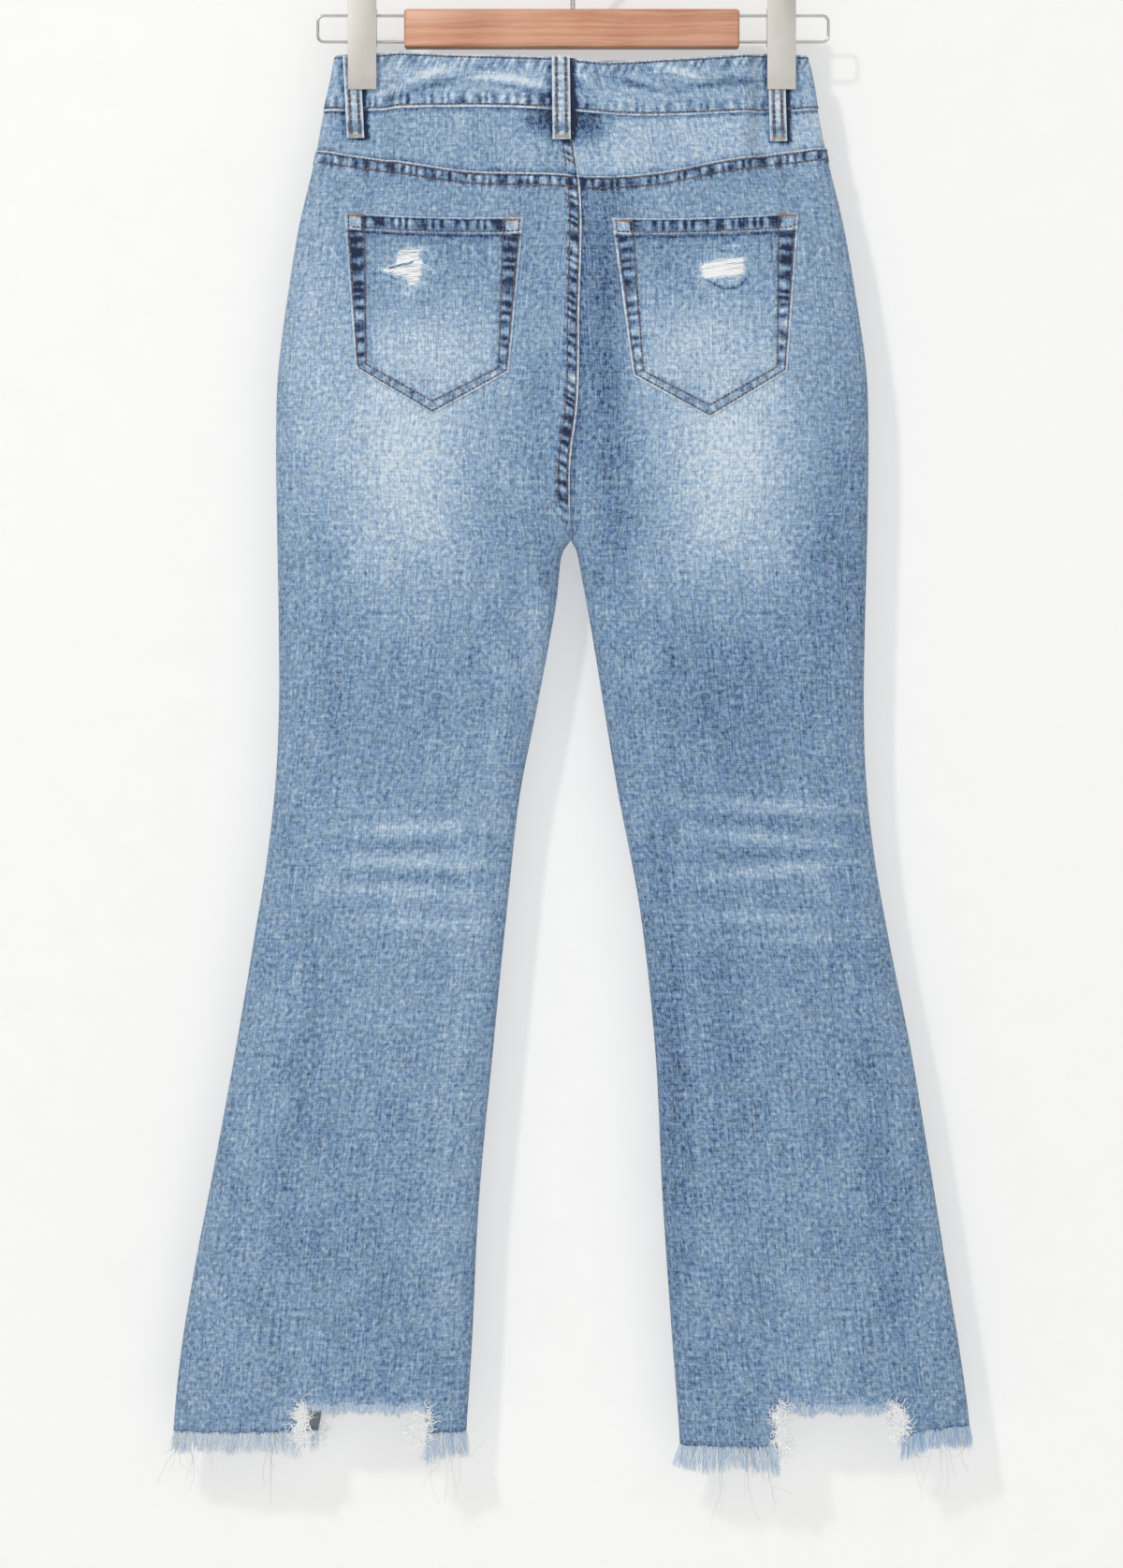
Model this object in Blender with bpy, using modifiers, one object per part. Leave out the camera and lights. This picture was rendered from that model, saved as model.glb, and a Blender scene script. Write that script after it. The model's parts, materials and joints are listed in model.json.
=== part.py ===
"""Flared jeans that hang by two clips from a wooden trouser hanger.

The back of the jeans faces -Y, +Z is up, and the origin is the highest point inside the hook, where a
rod holds it. Sizes are in millimetres: MM turns them into Blender's metres. A drop is a distance below
the waistband's top edge.
"""

import math
from collections import namedtuple

import bmesh
import bpy
import numpy as np
from mathutils import Matrix, Vector

MM = 0.001

HOOK_TO_WAIST = 109.3
SEAM_GAP = 0.3
CROTCH_DROP = 362.6

DENIM = 1.2
WAISTBAND_CLOTH = 2.2
WAISTBAND_PROUD = 0.6
POCKET_CLOTH = 1.1
LOOP_CLOTH = 1.6
LOOP_CLEAR = 0.7
FELL_RAISE = 0.8
EDGE_ROUND = 0.35

LEFT, RIGHT = -1, 1
BACK, FRONT = -1, 1
SIDES = {LEFT: "left", RIGHT: "right"}
FACES = {BACK: "back", FRONT: "front"}

Outline = namedtuple("Outline", "drop left right")
OUTSEAM = [
    Outline(-4, -175.5, 172.5),
    Outline(0, -177.0, 174.5),
    Outline(20, -181.3, 180.0),
    Outline(42, -186.2, 183.4),
    Outline(76, -192.5, 190.4),
    Outline(126, -204.4, 202.3),
    Outline(182, -213.5, 212.1),
    Outline(238, -220.5, 219.8),
    Outline(294, -221.9, 221.2),
    Outline(350, -221.2, 220.5),
    Outline(434, -219.8, 218.4),
    Outline(490, -219.8, 217.7),
    Outline(546, -222.6, 219.8),
    Outline(602, -228.9, 226.1),
    Outline(658, -238.0, 235.9),
    Outline(742, -252.0, 252.7),
    Outline(826, -267.4, 266.7),
    Outline(910, -283.5, 280.0),
    Outline(966, -292.6, 289.1),
    Outline(1032, -298.9, 297.5),
    Outline(1065, -300.0, 299.0),
]
INSEAM = [
    Outline(CROTCH_DROP, -1.5, -1.2),
    Outline(367, -5.5, 1.6),
    Outline(374, -8.4, 3.8),
    Outline(386, -10.0, 6.0),
    Outline(406, -12.0, 9.8),
    Outline(434, -16.8, 14.7),
    Outline(490, -27.3, 23.8),
    Outline(546, -38.5, 33.0),
    Outline(630, -48.3, 49.0),
    Outline(742, -59.5, 61.6),
    Outline(854, -70.0, 67.2),
    Outline(966, -75.6, 74.9),
    Outline(1032, -79.8, 79.8),
    Outline(1065, -82.0, 81.5),
]

Centre = namedtuple("Centre", "drop back front")
CENTRE_SEAM = [
    Centre(-4, -8.0, 0.0),
    Centre(40, -4.0, 0.0),
    Centre(64, 0.7, 0.0),
    Centre(95, 5.0, 0.0),
    Centre(193, 5.0, 0.0),
    Centre(271, 2.8, -0.5),
    Centre(300, -1.2, -1.0),
    Centre(CROTCH_DROP, -1.4, -1.4),
]

Depth = namedtuple("Depth", "drop back front centre_back centre_front")
DEPTH = [
    Depth(-4, 9.0, 11.0, 1.0, 1.0),
    Depth(40, 13.0, 14.0, 1.0, 1.0),
    Depth(120, 20.0, 17.0, 1.0, 1.0),
    Depth(220, 25.0, 18.0, 1.0, 1.0),
    Depth(285, 25.0, 18.0, 0.985, 1.0),
    Depth(318, 23.5, 18.0, 0.84, 0.97),
    Depth(340, 22.5, 18.0, 0.58, 0.78),
    Depth(354, 21.8, 17.8, 0.30, 0.42),
    Depth(CROTCH_DROP, 21.5, 17.6, 0.0, 0.0),
    Depth(420, 19.5, 17.0, 0.0, 0.0),
    Depth(560, 17.5, 16.0, 0.0, 0.0),
    Depth(800, 17.0, 16.0, 0.0, 0.0),
    Depth(1065, 15.0, 15.0, 0.0, 0.0),
]

Line = namedtuple("Line", "drop x")
WAIST_TOP = [Line(0.0, -178), Line(-1.8, -150), Line(0.0, -90), Line(2.6, -8), Line(5.6, 26), Line(4.4, 56),
             Line(1.8, 100), Line(-1.2, 150), Line(0.0, 176)]
WAIST_BOTTOM = [Line(42.0, -187), Line(42.0, -20), Line(43.5, 0), Line(47.0, 42), Line(46.5, 86),
                Line(43.5, 141), Line(41.2, 184)]
YOKE_SEAM = [Line(70.6, -194), Line(79.8, -135), Line(88.0, -80), Line(90.6, -8), Line(92.0, 8),
             Line(90.0, 58), Line(79.8, 113), Line(71.4, 169), Line(69.0, 190)]
WAIST_FRONT_TOP = [Line(0.0, -178), Line(-1.8, -150), Line(2.6, -60), Line(3.0, -6), Line(1.6, 24),
                   Line(1.6, 60), Line(-1.2, 150), Line(0.0, 176)]
WAIST_FRONT_BOTTOM = [Line(42.0, -187), Line(46.0, 0), Line(41.2, 184)]

SCOOP_REACH = 92.0
SCOOP_DEPTH = 76.0
SCOOP_POWER = 2.2
HIP_SHARE = 0.55
HIP_UNDER = 9.0
HIP_INSET = DENIM + SEAM_GAP + 0.5

CLIP_X = {LEFT: -157.2, RIGHT: 155.8}
CLIP_WIDTH = 21.4
CLIP_TOP_Z = -68.0
CLIP_BOTTOM_DROP = 26.0
PINCH_HALF = 2.6
PINCH_FLAT = 14.0
PINCH_FADE = 15.0

Fold = namedtuple("Fold", "face x drop angle length width height")
FOLDS = [
    Fold(BACK, 76, 720, 92, 190, 10, -2.4),
    Fold(BACK, -205, 800, 98, 150, 14, -1.6),
    Fold(BACK, -120, 930, 92, 110, 20, 2.0),
    Fold(BACK, 150, 900, 86, 130, 20, 1.8),
    Fold(BACK, 235, 930, 84, 110, 16, -1.6),
    Fold(BACK, -70, 318, 24, 60, 9, -1.8),
    Fold(BACK, 72, 322, -22, 60, 9, -1.8),
    Fold(FRONT, -70, 330, 30, 70, 9, -2.0),
    Fold(FRONT, 70, 334, -28, 66, 9, -2.0),
    Fold(FRONT, -150, 760, 92, 200, 14, -2.2),
    Fold(FRONT, 165, 840, 88, 180, 16, 2.0),
    Fold(FRONT, -110, 960, 92, 90, 14, -1.6),
]

WIRE_RADIUS = 1.05
WIRE_Z = (-79.2, -98.8)
WIRE_END_X = {LEFT: -190.6, RIGHT: 191.2}
WIRE_CORNER = 4.5
BAR_X = {LEFT: -126.0, RIGHT: 124.6}
BAR_TOP_Z, BAR_BOTTOM_Z = -75.0, -103.6
BAR_THICK = 14.0
HOOK_RADIUS = 22.5
HOOK_WIRE = 1.8
HOOK_START, HOOK_END = -52.0, 198.0
HOOK_STEM = 12.0
HOOK_BEND = 9.0

Column = namedtuple("Column", "share reach")
PINCH_COLUMNS = [Column(0, reach) for reach in (6, 13, 18, 30, 36, 46)]
WAIST_GIRTH = 190.0


def at(rows, column, drop, by="drop"):
    """A smooth curve through one column of a table, read at each drop."""
    knots = np.array([getattr(row, by) for row in rows], float)
    values = np.array([getattr(row, column) for row in rows], float)
    slopes = np.gradient(values, knots)
    drop = np.clip(drop, knots[0], knots[-1])
    index = np.clip(np.searchsorted(knots, drop) - 1, 0, len(knots) - 2)
    span = knots[index + 1] - knots[index]
    part = (drop - knots[index]) / span
    rest = 1 - part
    return (
        values[index] * rest**2 * (1 + 2 * part)
        + values[index + 1] * part**2 * (1 + 2 * rest)
        + span * part * rest * (slopes[index] * rest - slopes[index + 1] * part)
    )


def line_at(rows, x):
    """The drop of a seam or an edge at each x."""
    return at(rows, "drop", x, by="x")


def smooth(part):
    part = np.clip(part, 0, 1)
    return part * part * (3 - 2 * part)


def folds(face, x, drop):
    """How far the largest folds stand out of the cloth."""
    height = np.zeros_like(x)
    for fold in FOLDS:
        if fold.face != face:
            continue
        turn = math.radians(fold.angle)
        along = (x - fold.x) * math.cos(turn) + (drop - fold.drop) * math.sin(turn)
        across = (drop - fold.drop) * math.cos(turn) - (x - fold.x) * math.sin(turn)
        height += fold.height * np.exp(-((along / fold.length) ** 2) * 1.5 - (across / fold.width) ** 2)
    return height


def pinch(side, x, half_depth, drop):
    """The clips press the back and the front together near the top."""
    near = 1 - smooth((np.abs(x - CLIP_X[side]) - PINCH_FLAT) / PINCH_FADE)
    high = 1 - smooth((drop - CLIP_BOTTOM_DROP - 4) / 110)
    pressed = np.minimum(half_depth, PINCH_HALF)
    return half_depth + (pressed - half_depth) * near * high


SAMPLES = 72


def section(side, face, drop):
    """x, y and the length so far, from the outseam to the centre or the inseam, a row for each drop."""
    name, where = SIDES[side], FACES[face]
    outer = side * at(OUTSEAM, name, drop)
    centre = side * at(CENTRE_SEAM, where, drop) + SEAM_GAP / 2
    inner = np.where(drop < CROTCH_DROP, centre, side * at(INSEAM, name, drop))
    depth = at(DEPTH, where, drop)
    middle = np.clip(at(DEPTH, "centre_" + where, drop), 0, 1)
    middle = np.where(drop < CROTCH_DROP, middle, 0.0)
    width = outer - inner
    power = 2 * EDGE_ROUND * width / (1 + np.sqrt(1 - middle**2)) / depth
    end = (1 - middle**2) ** (1 / power)
    tip = (1 - (SEAM_GAP / 2 / depth) ** 2) ** (1 / power)
    half_width = width / (1 + end)
    end = np.minimum(end, tip)
    part = (1 - np.cos(np.linspace(0, math.pi, SAMPLES))) / 2
    across = -tip[:, None] + (tip + end)[:, None] * part
    x = side * (outer[:, None] - half_width[:, None] * (1 + across))
    half = depth[:, None] * np.sqrt(np.clip(1 - np.abs(across) ** power[:, None], 0, 1))
    half = np.maximum(pinch(side, x, half, drop[:, None]), SEAM_GAP / 2)
    y = face * half
    steps = np.hypot(np.diff(x, axis=1), np.diff(y, axis=1))
    length = np.concatenate([np.zeros((len(drop), 1)), np.cumsum(steps, axis=1)], axis=1)
    return x, y, length


def cloth(side, face, share, reach, drop):
    """Points of the cloth's outer face: a share of the girth plus a reach from the outseam, at each drop."""
    shape = np.broadcast_shapes(np.shape(share), np.shape(reach), np.shape(drop))
    share, reach, drop = (np.broadcast_to(v, shape).astype(float).ravel() for v in (share, reach, drop))
    x, y, length = section(side, face, drop)
    total = length[:, -1]
    along = np.clip(share * total + reach, 0, total)
    index = np.clip((length <= along[:, None]).sum(axis=1) - 1, 0, SAMPLES - 2)
    row = np.arange(len(drop))
    step = length[row, index + 1] - length[row, index]
    part = (along - length[row, index]) / np.maximum(step, 1e-9)
    px = x[row, index] + (x[row, index + 1] - x[row, index]) * part
    py = y[row, index] + (y[row, index + 1] - y[row, index]) * part
    inset = smooth(np.minimum(along, total - along) / 12)
    py = py + face * folds(face, px, drop) * inset
    points = np.stack([px, py, -HOOK_TO_WAIST - drop], axis=-1)
    return points.reshape(shape + (3,))


def unit(vectors):
    return vectors / np.maximum(np.linalg.norm(vectors, axis=-1, keepdims=True), 1e-9)


def normal(side, face, share, reach, drop, step=0.8):
    """The outward direction at each point of the cloth, from points a small step away."""
    ahead = cloth(side, face, share, np.asarray(reach) + step, drop)
    behind = cloth(side, face, share, np.asarray(reach) - step, drop)
    below = cloth(side, face, share, reach, np.asarray(drop) + 2 * step)
    above = cloth(side, face, share, reach, np.asarray(drop) - 2 * step)
    return unit(np.cross(ahead - behind, below - above) * (-side * face))


def seam_normal(facing, share, drop):
    """A normal at a panel's edge, turned into the plane of the seam there."""
    facing = facing.copy()
    edge_of_girth = (share <= 0) | ((share >= 1) & (drop >= CROTCH_DROP))
    edge_at_centre = (share >= 1) & (drop < CROTCH_DROP)
    facing[edge_of_girth, 1] = 0
    facing[edge_at_centre, 0] = 0
    return unit(facing)


def material(name, colour, roughness, metallic=0.0):
    made = bpy.data.materials.get(name) or bpy.data.materials.new(name)
    made.use_nodes = True
    shader = made.node_tree.nodes["Principled BSDF"]
    shader.inputs["Base Color"].default_value = (*colour, 1)
    shader.inputs["Roughness"].default_value = roughness
    shader.inputs["Metallic"].default_value = metallic
    return made


def add(name, mesh, finish):
    """A named object in the model's collection."""
    obj = bpy.data.objects.new(name, mesh)
    obj.data.materials.append(finish)
    MODEL.objects.link(obj)
    return obj


def finished(name, shape, finish):
    """Turns a bmesh into a named object with its faces outwards."""
    bmesh.ops.recalc_face_normals(shape, faces=shape.faces)
    mesh = bpy.data.meshes.new(name)
    shape.to_mesh(mesh)
    shape.free()
    mesh.shade_smooth()
    mesh.set_sharp_from_angle(angle=math.radians(40))
    return add(name, mesh, finish)


def wall_shape(outer, inner):
    """A closed wall between two grids of points in millimetres: outer face, inner face and rim."""
    rows, columns = outer.shape[:2]
    shape = bmesh.new()
    front, back = ([[shape.verts.new(Vector(point) * MM) for point in row] for row in grid]
                   for grid in (outer, inner))
    for i in range(rows - 1):
        for j in range(columns - 1):
            for corners in (front, back):
                shape.faces.new([corners[i][j], corners[i][j + 1], corners[i + 1][j + 1], corners[i + 1][j]])
    rim = [(0, j) for j in range(columns)] + [(i, columns - 1) for i in range(1, rows)]
    rim += [(rows - 1, j) for j in range(columns - 2, -1, -1)] + [(i, 0) for i in range(rows - 2, 0, -1)]
    for (i, j), (k, m) in zip(rim, rim[1:] + rim[:1]):
        shape.faces.new([front[i][j], front[k][m], back[k][m], back[i][j]])
    return shape


def wall(name, outer, inner, finish):
    return finished(name, wall_shape(outer, inner), finish)


def meet(side, face, column, line):
    """The drop at which a column of a panel meets a seam or an edge whose drop is given by x."""
    drop = 0.0
    for _ in range(5):
        x = cloth(side, face, column.share, column.reach, np.array([drop]))[0, 0]
        drop = float(line(x))
    return drop


def seam(rows, offset=0.0):
    """A seam's drop by x, half a gap above or below."""
    return lambda x: line_at(rows, x) + offset * SEAM_GAP / 2


def between(side, face, columns, high, low, rows):
    """Drops of a panel whose rows run evenly from one seam or edge down to another."""
    ends = np.array([[meet(side, face, column, line) for column in columns] for line in (high, low)])
    return ends[0] + (ends[1] - ends[0]) * np.linspace(0, 1, rows)[:, None]


def keep_side(points, face):
    """Keeps a wall's inner points on their own side of the outseam and the inseam."""
    points[..., 1] = face * np.maximum(points[..., 1] * face, SEAM_GAP / 2)
    return points


def walls(side, face, columns, drops, raised=0.0, proud=0.0, thick=DENIM):
    """Outer and inner points of a panel: proud lifts both, raised the outer points alone."""
    share = np.array([column.share for column in columns], float)[None, :] + np.zeros_like(drops)
    reach = np.array([column.reach for column in columns], float)[None, :] + np.zeros_like(drops)
    base = cloth(side, face, share, reach, drops)
    edge = np.where(reach == 0, share, 0.5)
    facing = seam_normal(normal(side, face, share, reach, drops), edge, drops)
    outer = base + facing * (proud + raised + np.zeros_like(drops))[..., None]
    inner = base + facing * (proud - thick)
    return keep_side(outer, face), keep_side(inner, face)


def slanted(side, face, columns, nominal, top, bottom, top_blend, bottom_blend=70.0):
    """Drops of a panel's rows: the first follows the top seam, the last the hem, the rest even out."""
    nominal = np.array(nominal, float)[:, None]
    rise = np.array([meet(side, face, column, top) for column in columns]) - nominal[0]
    fall = np.array([bottom(column.share) for column in columns]) - nominal[-1]
    nearness_top = 1 - smooth((nominal - nominal[0]) / top_blend)
    nearness_hem = 1 - smooth((nominal[-1] - nominal) / bottom_blend)
    return nominal + rise * nearness_top + fall * nearness_hem


Hem = namedtuple("Hem", "outer notch inner notch_from notch_to")
HEMS = {
    (LEFT, BACK): Hem(1029.0, 1007.5, 1029.5, 0.430, 0.845),
    (LEFT, FRONT): Hem(1030.5, 1014.0, 1031.0, 0.495, 0.860),
    (RIGHT, BACK): Hem(1027.0, 1008.0, 1039.5, 0.250, 0.655),
    (RIGHT, FRONT): Hem(1028.0, 1015.0, 1040.5, 0.235, 0.650),
}
NOTCH_STEP = 0.006
FELL_WIDTH = 10.5
FELL_STEP = 0.8
COLUMN_SHARES = {
    BACK: (0.12, 0.23, 0.35, 0.48, 0.60, 0.74),
    FRONT: (0.09, 0.18, 0.27, 0.35, 0.40, 0.435, 0.54, 0.72),
}
CLEAR_OF_NOTCH = 0.032
TYPICAL_GIRTH = 220.0


def hem_line(hem):
    """The cloth's lower edge by its share of the girth: a notch is chewed out between two whole stretches."""

    def drop(share):
        if share < hem.notch_from:
            return hem.outer
        if share > hem.notch_to:
            return hem.inner
        return hem.notch

    return drop


def in_order(columns, girth=TYPICAL_GIRTH):
    return sorted(columns, key=lambda column: column.share * girth + column.reach)


def panel_columns(side, face):
    """Columns from the outseam to the inseam, in pairs where the hem's notch begins and ends."""
    hem = HEMS[side, face]
    columns = [Column(0, 0), Column(0, 3), Column(0, 9)]
    for share in COLUMN_SHARES[face]:
        if min(abs(share - hem.notch_from), abs(share - hem.notch_to)) > CLEAR_OF_NOTCH:
            columns.append(Column(share, 0))
    for edge in (hem.notch_from, hem.notch_to):
        columns += [Column(edge - NOTCH_STEP, 0), Column(edge + NOTCH_STEP, 0)]
    columns = in_order(columns)
    if side == LEFT:
        columns += [Column(1, -FELL_WIDTH - FELL_STEP), Column(1, -FELL_WIDTH)]
    return columns + [Column(1, -4), Column(1, 0)]


YOKE_MIDDLE = 88.0
SEAT_ROWS = [YOKE_MIDDLE, YOKE_MIDDLE + FELL_WIDTH - FELL_STEP / 2, YOKE_MIDDLE + FELL_WIDTH + FELL_STEP / 2,
             130, 170, 215, 260, 297, 322, 341, 354]
LAP_ROWS = [60, 62, 95, 130, 165, 200, 240, 280, 312, 336, 352]
LEG_ROWS = [CROTCH_DROP, 368, 378, 405, 450, 510, 570, 630, 695, 760, 825, 890, 945, 985, 1008, 1028]
FELL_FADE = 45.0
BACK_FELL_END = 285.0
FLY_END = 170.0


def fell(drops, columns, centre_to, along_top=False):
    """How far a felled seam stands up along a panel's centre edge down to a drop, and along its top."""
    raised = np.zeros_like(drops)
    if along_top:
        raised[drops - drops[0] < FELL_WIDTH] = FELL_RAISE
    for j, column in enumerate(columns):
        if column.share == 1 and column.reach >= -FELL_WIDTH:
            fade = 1 - smooth((drops[:, j] - centre_to) / FELL_FADE)
            raised[:, j] = np.maximum(raised[:, j], FELL_RAISE * fade)
    return raised


def back_panels(finish):
    """The left one laps over the right along the centre, and both lap over the yoke."""
    for side, name in SIDES.items():
        columns = panel_columns(side, BACK)
        drops = slanted(side, BACK, columns, SEAT_ROWS + LEG_ROWS, seam(YOKE_SEAM, 1),
                        hem_line(HEMS[side, BACK]), top_blend=110.0)
        raised = fell(drops, columns, BACK_FELL_END if side == LEFT else -FELL_FADE, along_top=True)
        wall("back_" + name, *walls(side, BACK, columns, drops, raised), finish)


def yokes(finish):
    for side, name in SIDES.items():
        columns = panel_columns(side, BACK)
        drops = between(side, BACK, columns, seam(WAIST_BOTTOM, 1), seam(YOKE_SEAM, -1), 4)
        raised = fell(drops, columns, BACK_FELL_END if side == LEFT else -FELL_FADE)
        wall("yoke_" + name, *walls(side, BACK, columns, drops, raised), finish)


def scoop(side, under=0.0):
    """The front panel's top edge: the waist seam, then down round the pocket mouth to the outseam."""

    def drop(x):
        outer = side * at(OUTSEAM, SIDES[side], SCOOP_DEPTH)
        across = np.clip((outer - side * x) / SCOOP_REACH, 0, 1)
        round_mouth = (1 - across**SCOOP_POWER) ** (1 / SCOOP_POWER)
        return line_at(WAIST_FRONT_BOTTOM, x) + SEAM_GAP / 2 + SCOOP_DEPTH * round_mouth + under

    return drop


def front_panels(finish):
    """The left one's centre edge is raised as the fly, down to its stop."""
    for side, name in SIDES.items():
        columns = panel_columns(side, FRONT)
        drops = slanted(side, FRONT, columns, LAP_ROWS + LEG_ROWS, scoop(side), hem_line(HEMS[side, FRONT]),
                        top_blend=175.0)
        raised = fell(drops, columns, FLY_END if side == LEFT else -FELL_FADE)
        wall("front_" + name, *walls(side, FRONT, columns, drops, raised), finish)


def hip_pieces(finish):
    """The pieces that show in the pocket mouths, one layer further in than the front panels."""
    for side, name in SIDES.items():
        columns = [column for column in panel_columns(side, FRONT) if column.share < HIP_SHARE]
        drops = between(side, FRONT, columns, seam(WAIST_FRONT_BOTTOM, 1), scoop(side, under=HIP_UNDER), 5)
        wall("hip_" + name, *walls(side, FRONT, columns, drops, proud=-HIP_INSET), finish)


def waistband(finish):
    """Each half runs from the centre back round the side to the fly, as one folded strip."""
    for side, name in SIDES.items():
        halves = []
        for face, top, bottom in ((BACK, WAIST_TOP, WAIST_BOTTOM),
                                  (FRONT, WAIST_FRONT_TOP, WAIST_FRONT_BOTTOM)):
            columns = in_order(panel_columns(side, face) + PINCH_COLUMNS, girth=WAIST_GIRTH)
            drops = between(side, face, columns, seam(top), seam(bottom, -1), 4)
            halves.append(walls(side, face, columns, drops, proud=WAISTBAND_PROUD, thick=WAISTBAND_CLOTH))
        outer, inner = (np.concatenate([back[:, ::-1], front], axis=1) for back, front in zip(*halves))
        wall("waistband_" + name, outer, inner, finish)


def height_on(side, face, x, drop):
    """The cloth's outer points and normals under given x and drop, found along the section."""
    shape = np.shape(x)
    x, drop = np.ravel(x).astype(float), np.ravel(drop).astype(float)
    across, _, length = section(side, face, drop)
    rows = zip(x, across, length)
    reach = np.array([np.interp(-side * place, -side * row, line) for place, row, line in rows])
    points = cloth(side, face, 0.0, reach, drop)
    facing = normal(side, face, 0.0, reach, drop)
    return points.reshape(shape + (3,)), facing.reshape(shape + (3,))


def on_either_side(face, x, drop):
    """The same where the places may lie on both sides of the centre seam."""
    (left, left_facing), (right, right_facing) = (height_on(side, face, x, drop) for side in SIDES)
    beyond = (x > at(CENTRE_SEAM, FACES[face], drop))[..., None]
    return np.where(beyond, right, left), np.where(beyond, right_facing, left_facing)


Pocket = namedtuple("Pocket", "name side top_inner top_outer low_inner low_outer point")
POCKETS = [
    Pocket("back_pocket_left", LEFT, (-36.4, 123.2), (-170.1, 119.7), (-47.6, 238.7), (-161.0, 236.0),
           (-104.3, 270.2)),
    Pocket("back_pocket_right", RIGHT, (28.7, 123.9), (168.0, 119.7), (44.8, 241.5), (158.9, 238.0),
           (101.5, 273.0)),
]
POCKET_HEM = 12.6
POCKET_HEM_RAISE = 0.6
POCKET_SAG = 2.0
HEM_STEP = 0.004


def point_share(pocket):
    """How far across a pocket its lowest point is."""
    return (pocket.point[0] - pocket.low_inner[0]) / (pocket.low_outer[0] - pocket.low_inner[0])


def patch_point(pocket, across, down):
    """x and drop of a place on a patch pocket, both shares from its top inner corner."""
    stops = [0, point_share(pocket), 1]
    low_ends = zip(pocket.low_inner, pocket.point, pocket.low_outer)
    low = np.array([np.interp(across, stops, ends) for ends in low_ends])
    top = np.array([np.interp(across, [0, 1], ends) for ends in zip(pocket.top_inner, pocket.top_outer)])
    top[1] += POCKET_SAG * 4 * across * (1 - across)
    return top + (low - top) * down


def back_pockets(finish):
    """Five-sided patches, with a hem raised along the top edge."""
    for pocket in POCKETS:
        hem = POCKET_HEM / (pocket.low_inner[1] - pocket.top_inner[1])
        across = [0, 0.125, 0.25, 0.375, point_share(pocket), 0.625, 0.75, 0.875, 1]
        down = [0, hem - HEM_STEP, hem + HEM_STEP, 0.3, 0.48, 0.66, 0.84, 1]
        grid = np.array([[patch_point(pocket, a, d) for a in across] for d in down])
        points, facing = height_on(pocket.side, BACK, grid[..., 0], grid[..., 1])
        raised = np.array([POCKET_HEM_RAISE if d < hem else 0.0 for d in down])[:, None, None]
        outer = points + facing * (SEAM_GAP + POCKET_CLOTH + raised)
        wall(pocket.name, outer, points + facing * SEAM_GAP, finish)


Loop = namedtuple("Loop", "name face top_x low_x top low width")
LOOPS = [
    Loop("belt_loop_centre", BACK, -9.0, -8.2, 1.8, 65.0, 13.4),
    Loop("belt_loop_left", BACK, -165.5, -162.0, 0.5, 62.5, 13.0),
    Loop("belt_loop_right", BACK, 152.0, 153.6, 0.5, 65.0, 12.6),
    Loop("belt_loop_front_left", FRONT, -78.0, -78.0, 4.0, 62.0, 13.0),
    Loop("belt_loop_front_right", FRONT, 78.0, 78.0, 4.0, 62.0, 13.0),
]


STEP_DOWN = 51.0


def belt_loops(finish):
    """Flat straps over the waistband, down onto the yoke or the front."""
    for loop in LOOPS:
        down = np.array([loop.top, 14.0, 27.0, 40.0, 47.5, STEP_DOWN, loop.low - 6, loop.low])
        middle = loop.top_x + (loop.low_x - loop.top_x) * (down - loop.top) / (loop.low - loop.top)
        across = np.linspace(-0.5, 0.5, 5) * loop.width
        x = middle[:, None] + across[None, :]
        points, facing = on_either_side(loop.face, x, down[:, None] + np.zeros_like(x))
        clear = np.where(down < STEP_DOWN, WAISTBAND_PROUD, FELL_RAISE)[:, None, None] + LOOP_CLEAR
        wall(loop.name, points + facing * (clear + LOOP_CLOTH), points + facing * clear, finish)


BUTTON_X, BUTTON_DROP = 9.0, 24.0
BUTTON_PROFILE = [(0.0, 0.0), (4.0, 0.0), (4.0, 1.2), (8.4, 1.4), (8.6, 2.4), (7.6, 3.3), (4.5, 3.6),
                  (0.0, 3.7)]


def waist_button(finish):
    """A shank button near the centre front of the waistband, turned from its profile of radius and height."""
    point, _ = height_on(RIGHT, FRONT, np.array([BUTTON_X]), np.array([BUTTON_DROP]))
    shape = bmesh.new()
    corners = [shape.verts.new((radius * MM, 0, height * MM)) for radius, height in BUTTON_PROFILE]
    edges = [shape.edges.new(pair) for pair in zip(corners, corners[1:])]
    bmesh.ops.spin(shape, geom=corners + edges, cent=(0, 0, 0), axis=(0, 0, 1), steps=16, angle=2 * math.pi)
    bmesh.ops.remove_doubles(shape, verts=shape.verts, dist=1e-6)
    shape.transform(Matrix.Rotation(-math.pi / 2, 4, "X"))
    obj = finished("waist_button", shape, finish)
    obj.location = (Vector(point[0]) + Vector((0, WAISTBAND_PROUD + SEAM_GAP, 0))) * MM


Fringe = namedtuple("Fringe", "part start start_clear end end_clear pitch length")
FRINGE = [
    Fringe("outer", "outseam", 0.012, "notch_from", 0.012, 7.0, 22.0),
    Fringe("notch", "notch_from", 0.020, "notch_to", 0.020, 7.6, 12.0),
    Fringe("inner", "notch_to", 0.012, "inseam", 0.015, 7.0, 24.0),
]
STRIP = 2.4
STRAND_SHARE = 0.56
SHORTEST, LONGEST = 0.55, 1.15
LEAN, WANDER = 0.22, 0.12


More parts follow.
